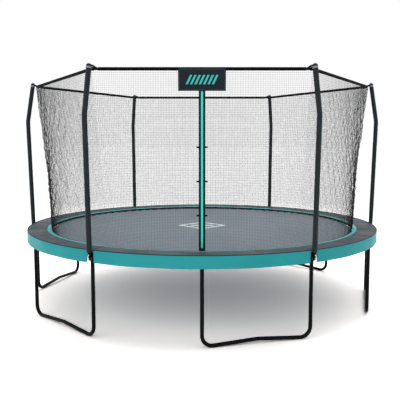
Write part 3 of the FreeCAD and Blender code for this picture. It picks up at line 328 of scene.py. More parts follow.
def circle(radius: float, count: int) -> Array:
    """Outline of a circle as rows of a, b."""
    return radius * direction(even_angles(count))


def hoop(first: Array, second: Array, count: int) -> Array:
    """Unit vectors set evenly round the circle that two square unit vectors span."""
    return circle(1.0, count) @ np.stack([first, second])


def rectangle(width: float, height: float) -> Array:
    """Outline of a rectangle round the middle, as rows of a, b."""
    return np.array([[1, -1], [1, 1], [-1, 1], [-1, -1]]) * (width / 2, height / 2)


def rounded(corners: Array, radii: dict[int, float], steps: int) -> Array:
    """A flat line with some of its corners rounded: each arc is tangent to both of its lines.

    Args:
        corners: Rows of a, b.
        radii: Bend radius by corner number.
        steps: Points to each arc, less one.

    Returns:
        The rounded line as rows of a, b.
    """
    line, count = [], len(corners)
    for index, corner in enumerate(corners):
        if index not in radii:
            line.append(corner[None])
            continue
        back = unit(corners[index - 1] - corner)
        ahead = unit(corners[(index + 1) % count] - corner)
        half = math.acos(float(np.clip(back @ ahead, -1, 1))) / 2
        centre = corner + unit(back + ahead) * radii[index] / math.sin(half)
        start = corner + back * radii[index] / math.tan(half) - centre
        swing = math.copysign(math.pi - 2 * half, back[1] * ahead[0] - back[0] * ahead[1])
        turn = direction(np.linspace(0, swing, steps + 1))
        # Each point of the arc is its start turned about its centre
        line.append(centre + turn @ [start, [-start[1], start[0]]])
    return np.vstack(line)


def resampled(line: Array, step: float) -> Array:
    """Points along a line no further than a step apart, with its own points kept.

    Args:
        line: Points of the line.
        step: Longest distance between two points.

    Returns:
        The denser line.
    """
    parts = []
    for start, finish in zip(line[:-1], line[1:]):
        count = max(1, math.ceil(float(np.linalg.norm(finish - start)) / step))
        parts.append(start + (finish - start) * (np.arange(count) / count)[:, None])
    return np.vstack(parts + [line[-1:]])


NOISE_DIRECTIONS = 3
NOISE_GAIN = 1.6


def smooth_noise(places: Array, wavelengths: tuple[float, ...], seed: int) -> Array:
    """Soft unevenness between about -1 and 1: a sum of sines over several directions and wavelengths.

    Args:
        places: Points, whose last axis is the place in metres.
        wavelengths: Wavelength of each octave, in metres.
        seed: Fixes the directions and phases.

    Returns:
        One number to each point.
    """
    rng = np.random.default_rng(seed)
    total = np.zeros(places.shape[:-1])
    for wavelength in wavelengths:
        for _ in range(NOISE_DIRECTIONS):
            way = unit(rng.normal(size=places.shape[-1]))
            total += np.sin(places @ way * FULL_TURN / wavelength + rng.uniform(0, FULL_TURN))
    return total * NOISE_GAIN / (NOISE_DIRECTIONS * len(wavelengths))


# Finishes


def linear(colour: str) -> tuple[float, float, float, float]:
    """A hex sRGB colour as linear red, green, blue and a full alpha."""
    shares = [int(colour[k : k + 2], 16) / 255 for k in (1, 3, 5)]
    red, green, blue = [s / 12.92 if s <= 0.04045 else ((s + 0.055) / 1.055) ** 2.4 for s in shares]
    return red, green, blue, 1.0


def cleared(owner: bpy.types.Material | bpy.types.World) -> bpy.types.NodeTree:
    """The node tree of a material or a world, emptied."""
    owner.use_nodes = True
    owner.node_tree.nodes.clear()
    return owner.node_tree


def add(
    tree: bpy.types.NodeTree, kind: str, inputs: dict | None = None, **settings: object
) -> bpy.types.Node:
    """Adds a node, sets its properties and fills its sockets.

    Args:
        tree: The material's or the world's node tree.
        kind: Type name of the node.
        inputs: Socket name or number, with a value or another node's output for it.
        settings: Properties of the node.

    Returns:
        The node.
    """
    node = tree.nodes.new(kind)
    for name, value in settings.items():
        setattr(node, name, value)
    for name, value in (inputs or {}).items():
        if isinstance(value, bpy.types.NodeSocket):
            tree.links.new(value, node.inputs[name])
        else:
            node.inputs[name].default_value = value
    return node


class Pattern(Enum):
    """What a finish shows close up."""

    PLAIN = "plain"
    WEAVE = "weave"
    TWILL = "twill"
    CRINKLE = "crinkle"


# Directions of a woven pattern's two sets of bands, and how their heights combine
BANDS = {Pattern.WEAVE: (("X", "Y"), "MULTIPLY"), Pattern.TWILL: (("DIAGONAL", "X"), "MAXIMUM")}


class Place(Enum):
    """Where a finish's pattern is read from."""

    OBJECT = "Object"
    CLOTH = "UV"


@dataclass(frozen=True)
class Finish:
    """One real material.

    Attributes:
        name: Name of the material.
        colour: Its main colour as sRGB hex.
        shade: Colour of its hollows, threads' gaps or worn patches.
        roughness: Microfacet roughness.
        metallic: 1 for bare metal.
        coat: Weight of a clear top layer.
        sheen: Weight of the soft fibre sheen.
        specular: Strength of the mirror-like share, 0.5 for plain plastic.
        pattern: What shows close up.
        pitch: Real repeat of the pattern, in metres, drawn as coarse as it needs to show.
        depth: Height of the pattern's bump, in metres.
        mottle: Size of slow colour and gloss variation, in metres.
        place: Where the pattern is read from.
        amount: How far the shade shows in the pattern's hollows.
    """

    name: str
    colour: str
    shade: str
    roughness: float
    metallic: float = 0.0
    coat: float = 0.0
    sheen: float = 0.0
    specular: float = 0.4
    pattern: Pattern = Pattern.PLAIN
    pitch: float = 0.004
    depth: float = 0.0003
    mottle: float = 0.12
    place: Place = Place.OBJECT
    amount: float = 0.5

    def height(self, tree: bpy.types.NodeTree, where: bpy.types.NodeSocket) -> bpy.types.NodeSocket:
        """Height of the close-up pattern, from 0 in a hollow to 1 on top.

        Args:
            tree: The material's node tree.
            where: Place on the surface.

        Returns:
            The socket with the height.
        """
        if self.pattern in BANDS:
            # A wave texture's bands lie a full turn over 20 times its scale apart
            wave = {"Vector": where, "Scale": FULL_TURN / (20 * self.pitch), "Detail": 0.0}
            axes, operation = BANDS[self.pattern]
            bands = [add(tree, "ShaderNodeTexWave", wave, bands_direction=axis) for axis in axes]
            heights = {index: band.outputs["Fac"] for index, band in enumerate(bands)}
            return add(tree, "ShaderNodeMath", heights, operation=operation).outputs[0]
        grain = {"Vector": where, "Scale": 1 / self.pitch, "Detail": 3.0, "Roughness": 0.55}
        if self.pattern is Pattern.CRINKLE:
            grain["Distortion"] = 0.6
        return add(tree, "ShaderNodeTexNoise", grain).outputs["Fac"]

    def build(self) -> bpy.types.Material:
        """Makes the material: pattern into colour and bump, slow mottling into colour and roughness.

        Returns:
            The material.
        """
        material = bpy.data.materials.new(self.name)
        tree = cleared(material)
        where = add(tree, "ShaderNodeTexCoord").outputs[self.place.value]
        height = self.height(tree, where)
        slow = add(tree, "ShaderNodeTexNoise", {"Vector": where, "Scale": 1 / self.mottle, "Detail": 2.0})
        slow = slow.outputs["Fac"]
        hollow = add(tree, "ShaderNodeMapRange", {"Value": height, "To Min": self.amount, "To Max": 0.0})
        worn = {"Value": slow, "From Min": 0.35, "From Max": 0.7, "To Max": 0.3}
        patch = add(tree, "ShaderNodeMapRange", worn)
        shares = {0: hollow.outputs["Result"], 1: patch.outputs["Result"]}
        share = add(tree, "ShaderNodeMath", shares, operation="MAXIMUM").outputs[0]
        # Sockets 6 and 7 are the mix's two colours, past those for numbers and vectors
        colours = {0: share, 6: linear(self.colour), 7: linear(self.shade)}
        colour = add(tree, "ShaderNodeMix", colours, data_type="RGBA").outputs[2]
        glossy, dull = max(self.roughness - 0.06, 0.02), min(self.roughness + 0.08, 1.0)
        gloss = {"Value": slow, "From Min": 0.3, "From Max": 0.7, "To Min": glossy, "To Max": dull}
        rough = add(tree, "ShaderNodeMapRange", gloss).outputs["Result"]
        bump = add(tree, "ShaderNodeBump", {"Height": height, "Distance": self.depth, "Strength": 1.0})
        shader = add(tree, "ShaderNodeBsdfPrincipled", {
            "Base Color": colour,
            "Roughness": rough,
            "Metallic": self.metallic,
            "Specular IOR Level": self.specular,
            "Coat Weight": self.coat,
            "Coat Roughness": 0.2,
            "Sheen Weight": self.sheen,
            "Sheen Roughness": 0.5,
            "Normal": bump.outputs["Normal"],
        })
        add(tree, "ShaderNodeOutputMaterial", {"Surface": shader.outputs[0]})
        return material


# Powder coat over steel tube: hard, smooth and glossy, with a faint orange peel
LEG_COAT = Finish(
    "powder_coated_tube", "#04080A", "#090D0F", 0.34, specular=0.06, pitch=0.006, depth=0.00001,
)
POLE_COAT = Finish(
    "powder_coated_pole", "#080B0D", "#0E1113", 0.36, specular=0.06, pitch=0.006, depth=0.00001,
)
# Zinc plating: pale, slightly blue, dull where it has gone chalky
ZINC = Finish("zinc_plated_steel", "#B9BDBF", "#8B8F90", 0.34, metallic=1.0, pitch=0.005, depth=0.00003)
# Woven polyester over foam: dull, with a fine plain weave and soft fibre sheen
SLEEVE_CLOTH = Finish(
    "woven_polyester_sleeve", "#283136", "#192024", 0.75, sheen=0.05, specular=0.15, pattern=Pattern.WEAVE,
    pitch=0.004, depth=0.0004, place=Place.CLOTH, amount=0.35,
)
# Coated tarpaulin, dark: a half-gloss film with shallow creases
PAD_COVER = Finish(
    "coated_tarpaulin_dark", "#464F56", "#35393C", 0.6, specular=0.12, pattern=Pattern.CRINKLE,
    pitch=0.035, depth=0.0012, mottle=0.3, amount=0.25,
)
# Coated tarpaulin, sea green: the same film, cleaner and a little glossier
SKIRT_COVER = Finish(
    "coated_tarpaulin_teal", "#2FAAAF", "#25949A", 0.5, specular=0.15, pattern=Pattern.CRINKLE,
    pitch=0.05, depth=0.0012, mottle=0.4, amount=0.2,
)
# Dark strip over the seam between pad and skirt, dull and darker than both: painted shade under the pad's
# overhanging edge
SEAM_SHADE_PAINT = Finish("painted_seam_shade_dark", "#22282B", "#191D20", 0.65, specular=0.12, pitch=0.004, depth=0.0001)
# The same tarpaulin in a brighter teal, over a thin foam core
BAND_COVER = Finish(
    "coated_tarpaulin_teal_edge", "#4CC2C2", "#37A9AA", 0.5, specular=0.15, pattern=Pattern.CRINKLE,
    pitch=0.03, depth=0.0008, amount=0.25,
)
# Woven polypropylene: flat, dull tapes in a plain weave, drawn six tapes to a repeat so that it shows. The
# black tapes are coloured mid grey, a painted sheen as they look at a grazing angle
MAT_WEAVE_PAINTED_SHEEN = Finish(
    "woven_mat_painted_sheen", "#87929B", "#76818A", 0.7, specular=0.15, pattern=Pattern.WEAVE,
    pitch=0.018, depth=0.0003, mottle=0.6, amount=0.5,
)
# Knitted polyethylene net: waxy black thread
NET_THREAD = Finish("knitted_net_thread", "#14181A", "#0C0F11", 0.6, specular=0.15, pitch=0.01, depth=0.0001)
# Tightly knitted polyester of the net's hems: black, matt, with fine rows
HEM_CLOTH = Finish(
    "knitted_hem_cloth", "#0A0E10", "#060809", 0.8, specular=0.06, pattern=Pattern.WEAVE,
    pitch=0.004, depth=0.0003, place=Place.CLOTH,
)
# Polyester webbing: tight diagonal ribs
WEBBING = Finish(
    "black_webbing", "#101416", "#080A0B", 0.75, specular=0.12, pattern=Pattern.TWILL,
    pitch=0.003, depth=0.0004, place=Place.CLOTH,
)
# Woven zip tape: fine twill, bright and dull
ZIP_TAPE = Finish(
    "woven_zip_tape", "#50F8EC", "#3CE4D8", 0.6, specular=0.2, pattern=Pattern.TWILL,
    pitch=0.003, depth=0.0002, place=Place.CLOTH, amount=0.3,
)
# Moulded acetal teeth, and the enamel on the die-cast slider and its pull: smooth and glossy
ZIP_TEETH = Finish("moulded_zip_teeth", "#52F5EA", "#3CDCD2", 0.4, specular=0.3, pitch=0.004, depth=0.00005)
ZIP_METAL = Finish("enamelled_zip_slider", "#40E6DA", "#2DB9B0", 0.25, coat=0.5, pitch=0.004, depth=0.00003)
# Moulded polypropylene: faint grain, half gloss
CAP_PLASTIC = Finish("moulded_plastic_grey", "#8D99A4", "#74808B", 0.4, pitch=0.003, depth=0.0001)
BLACK_PLASTIC = Finish("moulded_plastic_black", "#14181A", "#23282A", 0.42, pitch=0.003, depth=0.0001)
# Printed polyester: a dull plain weave, drawn a few threads to a repeat so that it shows
BANNER_CLOTH = Finish(
    "printed_polyester", "#18242A", "#0F181C", 0.65, specular=0.15, pattern=Pattern.WEAVE,
    pitch=0.006, depth=0.0002, place=Place.CLOTH, amount=0.25,
)
# Screen-print ink: flat and slightly rubbery
PRINT_TEAL = Finish("screen_print_teal", "#3FD3CB", "#2FB7B0", 0.5, pitch=0.004, depth=0.00003)
PRINT_WHITE = Finish("screen_print_white", "#F4F6F6", "#DDE1E2", 0.55, pitch=0.004, depth=0.00003)
# Bonded polyester sewing thread: dull
STITCHES = Finish("sewing_thread_grey", "#6B7377", "#4A5054", 0.7, pitch=0.002, depth=0.0001)


class Wardrobe:
    """Makes each finish once and gives it out."""

    made: dict[str, bpy.types.Material] = {}

    @classmethod
    def get(cls, finish: Finish) -> bpy.types.Material:
        """The Blender material of a finish."""
        if finish.name not in cls.made:
            cls.made[finish.name] = finish.build()
        return cls.made[finish.name]


# Pieces

SHARP_EDGE = math.radians(38)


def link_new(name: str, data: bpy.types.ID) -> bpy.types.Object:
    """A new object that holds this data, linked into the scene."""
    thing = bpy.data.objects.new(name, data)
    bpy.context.scene.collection.objects.link(thing)
    return thing


def make_piece(
    name: str, surface: Surface, finish: Finish, body: Body | None = Body.FRAME
) -> bpy.types.Object:
    """Puts a surface into a mesh object at the origin, dressed and riding on its body.

    Args:
        name: Name of the piece.
        surface: Its points, faces and cloth map.
        finish: Its material.
        body: The body it rides on, or None for one that rides on no body.

    Returns:
        The object.
    """
    mesh = bpy.data.meshes.new(name)
    mesh.from_pydata(surface.points, [], surface.faces)
    layer = mesh.uv_layers.new(name="Cloth")
    layer.data.foreach_set("uv", surface.cloth.astype(np.float32).ravel())
    mesh.shade_smooth()
    mesh.set_sharp_from_angle(angle=SHARP_EDGE)
    mesh.materials.append(Wardrobe.get(finish))
    piece = link_new(name, mesh)
    if body is not None:
        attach(piece, body.value)
    LOG.info("%s: %d faces", name, len(surface.faces))
    return piece


def thicken(piece: bpy.types.Object, thickness: float) -> None:
    """Gives a sheet its thickness, behind the side that is drawn."""
    modifier = piece.modifiers.new("cloth", "SOLIDIFY")
    modifier.thickness = thickness
    modifier.offset = -1


def dress(finish: Finish, *nodes: str) -> None:
    """Gives CAD nodes a finish in their own material slots.

    Args:
        finish: The finish.
        nodes: Names of the nodes.
    """
    for name in nodes:
        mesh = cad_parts[name].data
        mesh.materials.clear()
        mesh.materials.append(Wardrobe.get(finish))


@dataclass
class Stand:
    """Rails, sockets, posts and leg bases, whose CAD shapes stay."""

    def build(self) -> None:
        """Dresses the steel stand."""
        rails = [f"rail_{index:02d}" for index in range(1, 2 * SIDES + 1)]
        legs = [f"leg_base_{index}" for index in range(1, SIDES + 1)]
        dress(LEG_COAT, *rails, *legs, "t_sockets", "leg_posts")
        dress(ZINC, "pole_bolts", "pole_nuts", "socket_screws")
        dress(BLACK_PLASTIC, "pole_spacers")


@dataclass
class Poles:
    """The enclosure's poles with their foam sleeves and moulded caps."""

    # The middle line as outward and up: two straight runs joined by a tangent arc
    base: tuple[float, float] = (2.309, 0.838)
    kink: tuple[float, float] = (2.345, 2.317)
    top: tuple[float, float] = POLE_TOP
    bend_radius: float = 0.2
    bend_steps: int = 10
    tube_radius: float = 0.0163
    sleeve_radius: float = 0.0282
    sleeve_start: float = 0.922
    sleeve_step: float = 0.02
    sleeve_sides: int = 28
    cloth_rest: float = 0.0008
    # Each end is rolled in over the foam: distances from it, and the share of the foam's thickness there
    end_insets: tuple[float, ...] = (0.0, 0.0004, 0.002, 0.0055, 0.011)
    end_shares: tuple[float, ...] = (0.05, 0.45, 0.8, 0.96, 1.0)
    end_reach: float = 0.014
    uneven: float = 0.0006
    uneven_waves: tuple[float, ...] = (0.5, 0.16, 0.07)
    uneven_girth: float = 0.05
    fold_height: float = 0.0011
    fold_spacing: float = 0.032
    fold_reach: float = 0.09
    welt_height: float = 0.0016
    welt_spread: float = 0.09
    fill: float = 0.9
    seed: int = 10
    # Radius and height along the cap's outline: collar, neck and domed knob
    cap_outline: tuple[tuple[float, float], ...] = (
        (0.0285, 0.0002), (0.0297, 0.0014), (0.0297, 0.0176), (0.0285, 0.0196), (0.0228, 0.0204),
        (0.0221, 0.0216), (0.0218, 0.0385), (0.0192, 0.0402), (0.0189, 0.0440), (0.0174, 0.0490),
        (0.0138, 0.0532), (0.0080, 0.0556),
    )
    cap_sides: int = 32
    collar: tuple[float, float] = (0.001, 0.018)
    grips: int = 8
    grip_depth: float = 0.0007

    def axis(self) -> Array:
        """Middle line of a sleeve, as outward and up."""
        slope = (self.kink[0] - self.base[0]) / (self.kink[1] - self.base[1])
        start = (self.base[0] + (self.sleeve_start - self.base[1]) * slope, self.sleeve_start)
        line = rounded(np.array([start, self.kink, self.top]), {1: self.bend_radius}, self.bend_steps)
        return resampled(line, self.sleeve_step)

    def sleeve(self, seed: int) -> Surface:
        """A foam sleeve in local coordinates.

        Its radius dips a little in slow waves, gathers in short folds inside the bend, turns in over the
        foam at both ends and stands up in a narrow welt along the seam at its back.

        Args:
            seed: Fixes the unevenness.

        Returns:
            The hollow surface.
        """
        path = upright(self.axis())
        along = lengths(path)
        insets, shares = np.array(self.end_insets), np.array(self.end_shares)
        between = along[(along > self.end_reach) & (along < along[-1] - self.end_reach)]
        places = np.concatenate([insets, between, along[-1] - insets[::-1]])
        fullness = np.concatenate([shares, np.ones(len(between)), shares[::-1]])[:, None]
        path = np.stack([np.interp(places, along, path[:, k]) for k in range(3)], -1)
        places = places[:, None]
        angle = even_angles(self.sleeve_sides)
        spots = spread(*self.uneven_girth * direction(angle).T, places)
        uneven = self.uneven * smooth_noise(spots, self.uneven_waves, seed)
        kink_at = places[np.argmin(np.abs(path[:, 2] - self.kink[1]))]
        near_bend = np.exp(-(((places - kink_at) / self.fold_reach) ** 2))
        # The profile's b points to the axis, so the inside of the bend is where the sine is above 0
        inner = np.clip(np.sin(angle), 0, 1)
        folds = self.fold_height * near_bend * inner * np.sin(places * FULL_TURN / self.fold_spacing)
        welt = self.welt_height * np.exp(-(((angle - LOWEST) / self.welt_spread) ** 2))
        foam = self.sleeve_radius - self.cloth_rest + uneven + folds + welt - self.tube_radius
        return sheath(path, SIDEWAYS, self.tube_radius + foam * fullness, self.tube_radius)

    def cap(self) -> Surface:
        """A moulded cap in local coordinates: its outline turned round the pole's axis, with a collar, a
        neck and a domed knob, and shallow grip flats round the collar."""
        outline = np.array(self.cap_outline)
        height = outline[:, 1:]
        on_collar = (height > self.collar[0]) & (height < self.collar[1])
        angle = even_angles(self.cap_sides)
        flats = np.clip(-np.cos(self.grips * angle), 0, 1)
        radius = outline[:, :1] - self.grip_depth * on_collar * flats
        out, up = leaning(math.atan2(self.top[0] - self.kink[0], self.top[1] - self.kink[1]))
        foot = self.top[0] * OUTWARD + self.top[1] * UP
        points = foot + up * height[..., None] + radius[..., None] * hoop(out, SIDEWAYS, self.cap_sides)
        along = np.append(angle, FULL_TURN) * outline[:, 0].max()
        side = flipped(grid(points, lengths(outline), along, (False, True)))
        return capped(side, len(outline), self.cap_sides)

    def build(self) -> None:
        """Dresses the tubes and makes the six sleeves and their caps."""
        dress(POLE_COAT, "pole_lower_tubes", *[f"pole_tube_{index}" for index in range(1, SIDES + 1)])
        caps = make_piece("cap_mouldings", repeated(self.cap(), CORNER_TURNS), CAP_PLASTIC)
        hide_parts("pole_caps")
        for index, turn in enumerate(CORNER_TURNS):
            surface = repeated(self.sleeve(self.seed + index), [turn])
            piece = make_piece(f"foam_sleeve_{index + 1}", surface, SLEEVE_CLOTH)
            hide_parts(f"pole_sleeve_{index + 1}")


@dataclass
class TopRing:
    """Rods, elbows, the net's sewn sleeve round the rods and the straps to the caps."""

    height: float = RING_HEIGHT
    corner_radius: float = RING_CORNER
    hem_gap: float = 0.060
    hem_bore: float = 0.0148
    hem_radius: float = 0.0174
    hem_rows: int = 150
    hem_sides: int = 16
    uneven: float = 0.0005
    uneven_waves: tuple[float, ...] = (0.3, 0.09, 0.05)
    uneven_girth: float = 0.1
    # The line of thread where the net is sewn on stands out as a low ridge underneath
    seam_height: float = 0.0005
    seam_spread: float = 0.25
    seed: int = 30
    neck_radius: float = 0.0236
    neck_place: tuple[float, float] = POLE_TOP
    neck_lean: float = math.radians(-9.44)
    neck_middle: float = 0.030
    elbow_inset: float = 0.0093
    elbow_loop_radius: float = 0.0165
    strap_width: float = 0.018
    strap_thickness: float = 0.0024
    loop_sides: int = 28
    tongue_rows: int = 8
    tongue_sag: float = 0.0015
    wing_reach: float = 0.052
    wing_sewn: float = 0.035
    wing_lift: float = 0.002
    wing_rows: int = 8
    arc_rows: int = 15
    # Rows of a wing between which its face turns to the rod, and where and how steeply it falls
    wing_turn: tuple[int, int] = (3, 9)
    fall_start: float = 0.25
    fall_power: float = 1.3

    def hem(self, seed: int) -> Surface:
        """Cloth tube round one rod, a little loose: its radius gathers in short soft waves.

        Args:
            seed: Fixes the unevenness.

        Returns:
            The surface in local coordinates.
        """
        half = self.corner_radius * math.sin(EDGE_TURN / 2) - self.hem_gap
        sideways = np.linspace(-half, half, self.hem_rows)[:, None]
        angle = even_angles(self.hem_sides)
        spots = spread(*self.uneven_girth * direction(angle).T, sideways)
        uneven = self.uneven * smooth_noise(spots, self.uneven_waves, seed)
        seam = self.seam_height * np.exp(-(((angle - LOWEST) / self.seam_spread) ** 2))
        path = RING_EDGE * OUTWARD + sideways * SIDEWAYS + self.height * UP
        return sheath(path, OUTWARD, self.hem_radius + uneven + seam, self.hem_bore)

    def straps(self) -> Surface:
        """Webbing loops round a cap's neck and round the elbow below it, with the tongue between."""
        flat = rectangle(self.strap_thickness, self.strap_width)
        out, up = leaning(self.neck_lean)
        middle = self.neck_place[0] * OUTWARD + self.neck_place[1] * UP + up * self.neck_middle
        ring = hoop(out, SIDEWAYS, self.loop_sides)
        neck = sweep(middle + self.neck_radius * ring, ring, flat, closed=True)
        elbow = (self.corner_radius - self.elbow_inset) * OUTWARD + self.height * UP
        loop = hoop(OUTWARD, UP, self.loop_sides)
        lower = sweep(elbow + self.elbow_loop_radius * loop, loop, flat, closed=True)
        start, finish = elbow + self.elbow_loop_radius * UP, middle - out * self.neck_radius
        share = np.linspace(0, 1, self.tongue_rows)[:, None]
        path = start + (finish - start) * share - self.tongue_sag * UP * np.sin(share * math.pi)
        tongue = sweep(path, SIDEWAYS, rectangle(self.strap_width, self.strap_thickness))
        return joined([neck, lower, tongue, self.wings(middle)])

    def wings(self, middle: Array) -> Surface:
        """The webbing's two ends: from round the neck they run to both rods' hems, where they are sewn on.

        Args:
            middle: Middle of the strap's place on the neck.

        Returns:
            One band, upright all along: an arc round the neck's outer side between two tangents, which
            fall to the rods and end flat against the hems.
        """
        radius = self.neck_radius + self.strap_thickness
        along, away = direction(np.array([math.pi / 2, 0]) + EDGE_TURN / 2)
        corner = (self.corner_radius, 0.0) + (self.hem_radius + self.strap_thickness / 2) * away
        reach = corner + self.wing_reach * along
        offset = reach - middle[:2]
        bearing = math.atan2(offset[1], offset[0]) - math.acos(radius / float(np.hypot(*offset)))
        arc = direction(np.linspace(-bearing, bearing, self.arc_rows))
        share = np.linspace(0, 1, self.wing_rows + 1)[1:, None]
        touch = middle[:2] + radius * arc[-1]
        run = np.vstack([touch + (reach - touch) * share, reach + self.wing_sewn * along * share])
        # The band's outer face turns from square to the tangent to square to the rod
        first, last = self.wing_turn
        turn = np.clip((np.arange(len(run)) - first) / (last - first), 0, 1)[:, None]
        face = arc[-1] * (1 - turn) + away * turn
        fallen = np.clip((share[:, 0] - self.fall_start) / (1 - self.fall_start), 0, 1) ** self.fall_power
        fall = np.concatenate([fallen, np.ones(len(share))])
        half = spread(*run.T, middle[2] - (middle[2] - self.height - self.wing_lift) * fall)
        side = spread(*face.T, 0.0)
        mirrored = (1.0, -1.0, 1.0)
        path = np.vstack([(half * mirrored)[::-1], spread(*(middle[:2] + radius * arc).T, middle[2]), half])
        faces = unit(np.vstack([(side * mirrored)[::-1], spread(*arc.T, 0.0), side]))
        return sweep(path, faces, rectangle(self.strap_thickness, self.strap_width))

    def build(self) -> None:
        """Dresses the ring and makes its cloth and webbing."""
        dress(POLE_COAT, "ring_rods", "ring_elbows")
        surfaces = [repeated(self.hem(self.seed + index), [index * EDGE_TURN]) for index in range(SIDES)]
        hem = make_piece("net_top_hem", joined(surfaces), HEM_CLOTH)
        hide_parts("net_top_sleeve")
        straps = make_piece("corner_webbing", repeated(self.straps(), CORNER_TURNS), WEBBING)
        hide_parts("corner_straps")


@dataclass
class JumpingBed:
    """The mat with its stitched hem, webbing loops, wire rings and springs."""

    spring_count: int = 96
    radius: float = 1.985
    height: float = 0.908
    thickness: float = 0.003
    # Radii of the sheet's plain rings, then how it thickens into its hem and rounds off at its rim
    sheet_rings: tuple[float, ...] = (0.02, 0.25, 0.5, 0.75, 1.0, 1.25, 1.5, 1.7, 1.85)
    hem_thickness: float = 0.0051
    hem_width: float = 0.050
    hem_step: float = 0.002
    rim_insets: tuple[float, float] = (0.006, 0.001)
    rim_share: float = 0.7
    scallop: float = 0.0012
    scallop_sag: float = 0.0006
    stitch_insets: tuple[float, float] = (0.006, 0.044)
    stitch_radius: float = 0.0009
    stitch_sunk: float = 0.0002
    stitch_points: int = 384
    ring_wire: float = 0.0045
    ring_bar: float = 1.98755
    ring_reach: float = 0.032
    ring_width: float = 0.038
    ring_bend: float = 0.005
    loop_width: float = 0.020
    loop_thickness: float = 0.0013
    loop_gap: float = 0.0001
    loop_reach: float = 0.042
    spring_start: float = 2.01476
    spring_hook: float = 0.00445
    spring_wire: float = 0.0032
    hook_sides: int = 10
    arm_radius: float = 0.0015
    arm_sunk: float = 0.004
    arm_past: float = 0.008
    coil_radius: float = 0.0105
    coil_groove: float = 0.0012
    coil_end_radius: float = 0.004
    coil_rings: int = 19
    coil_start: float = 0.025
    coil_length: float = 0.125
    rail_inner: float = 2.244
    rail_height: float = 0.893
    springs_per_piece: int = 4
    # How far inside the rail and past the hook a spring's stretch begins and ends
    stretch_insets: tuple[float, float] = (0.012, 0.010)
    print_reach: float = 0.33
    print_line: float = 0.07
    print_arm: float = 0.15
    print_lift: float = 0.0003
    print_steps: int = 8

    def spring_turns(self) -> Array:
        """Turn of every spring, half a step off the front."""
        return (np.arange(self.spring_count) + 0.5) * FULL_TURN / self.spring_count

    def mat(self) -> Surface:
        """The mat as a closed disc: a thin sheet that thickens along its hem, whose edge is drawn out
        a little at each loop and sags a little between two loops."""
        count = 2 * self.spring_count
        turn = even_angles(count)
        pull = np.cos(turn * self.spring_count + math.pi)
        inner = self.radius - self.hem_width
        half, hem = self.thickness / 2, self.hem_thickness / 2
        plain = (*self.sheet_rings, inner - self.hem_step)
        rim = self.radius - np.array(self.rim_insets)
        radii = np.array([*plain, inner, inner + self.hem_step, *rim])
        heights = np.array([half] * len(plain) + [(half + hem) / 2, hem, hem, self.rim_share * hem])
        radii = np.concatenate([radii, [self.radius], radii[::-1]])
        heights = np.concatenate([heights, [0.0], -heights[::-1]])
        edge = np.clip((radii - inner) / self.hem_width, 0, 1)[:, None]
        radius = radii[:, None] + self.scallop * edge * (pull - 1)
        lift = self.height + heights[:, None] - self.scallop_sag * edge * (1 - pull) / 2
        across = lengths(spread(radii, heights))
        surface = grid(around(radius, turn, lift), across, np.append(turn, FULL_TURN), (False, True))
        return capped(surface, len(radii), count)

    def hem_stitches(self) -> Surface:
        """Two rows of raised thread round the hem, as thin closed rings."""
        turn = even_angles(self.stitch_points)
        inner = self.radius - self.hem_width
        level = self.height + self.hem_thickness / 2 - self.stitch_sunk
        out, thread = around(1.0, turn, 0.0), circle(self.stitch_radius, 4)
        paths = [around(inner + inset, turn, level) for inset in self.stitch_insets]
        return joined([sweep(path, out, thread, closed=True) for path in paths])

    def loops(self) -> Surface:
        """Webbing folded round each ring's bar, in local coordinates."""
        rise = self.hem_thickness / 2 + self.loop_gap + self.loop_thickness / 2
        start = self.radius - self.loop_reach
        fold = (self.ring_bar, self.height) + rise * direction(np.linspace(math.pi / 2, -math.pi / 2, 7))
        line = np.vstack([[start, self.height + rise], fold, [start, self.height - rise]])
        return sweep(upright(line), SIDEWAYS, rectangle(self.loop_width, self.loop_thickness))

    def ring(self) -> Surface:
        """Three-cornered wire ring in local coordinates, with rounded corners."""
        half = self.ring_width / 2
        corners = np.array([[0.0, half], [self.ring_reach, 0.0], [0.0, -half]])
        flat = rounded(corners, dict.fromkeys(range(3), self.ring_bend), 3)
        path = spread(self.ring_bar + flat[:, 0], flat[:, 1], self.height)
        return sweep(path, UP, circle(self.ring_wire / 2, 6), closed=True)

    def spring(self) -> Surface:
        """One spring in local coordinates: hook, arm, ridged coil and the arm that hooks into the rail."""
        start = self.spring_start * OUTWARD + self.height * UP
        run = (self.rail_inner - self.spring_start) * OUTWARD + (self.rail_height - self.height) * UP
        way, length = unit(run), float(np.linalg.norm(run))
        ring = hoop(OUTWARD, UP, self.hook_sides)
        hook = sweep(start + self.spring_hook * ring, ring, circle(self.spring_wire / 2, 5), closed=True)
        coil_end = self.coil_start + self.coil_length
        spans = np.array([[self.spring_hook, self.coil_start + self.arm_sunk],
                          [coil_end - self.arm_sunk, length + self.arm_past]])
        arms = [sweep(start + way * span[:, None], SIDEWAYS, circle(self.arm_radius, 5)) for span in spans]
        radius = self.coil_radius - self.coil_groove * (np.arange(self.coil_rings) % 2 == 0)
        radius[[0, -1]] = self.coil_end_radius
        path = start + way * np.linspace(self.coil_start, coil_end, self.coil_rings)[:, None]
        coil = sweep(path, SIDEWAYS, radius[:, None, None] * circle(1.0, 8))
        return joined([hook, *arms, coil])

    def motif(self) -> Surface:
        """A printed diamond outline round a plain cross, a hair above the mat."""
        corners = circle(1.0, 4)
        share = np.arange(self.print_steps)[None, :, None] / self.print_steps
        line = (corners[:, None] * (1 - share) + np.roll(corners, -1, 0)[:, None] * share).reshape(-1, 2)
        rings = np.stack([(self.print_reach - self.print_line) * line, self.print_reach * line])
        diamond = grid(self.printed(rings), [0, self.print_line], girth(rings[1]), (False, True))
        half, arm = self.print_line / 2, self.print_arm
        bars = []
        boxes = ((-arm, arm, -half, half), (-half, half, half, arm), (-half, half, -arm, -half))
        for left, right, low, high in boxes:
            corners = np.array([[[left, high], [right, high]], [[left, low], [right, low]]])
            bars.append(grid(self.printed(corners), [0, high - low], [0, right - left]))
        return joined([diamond, *bars])

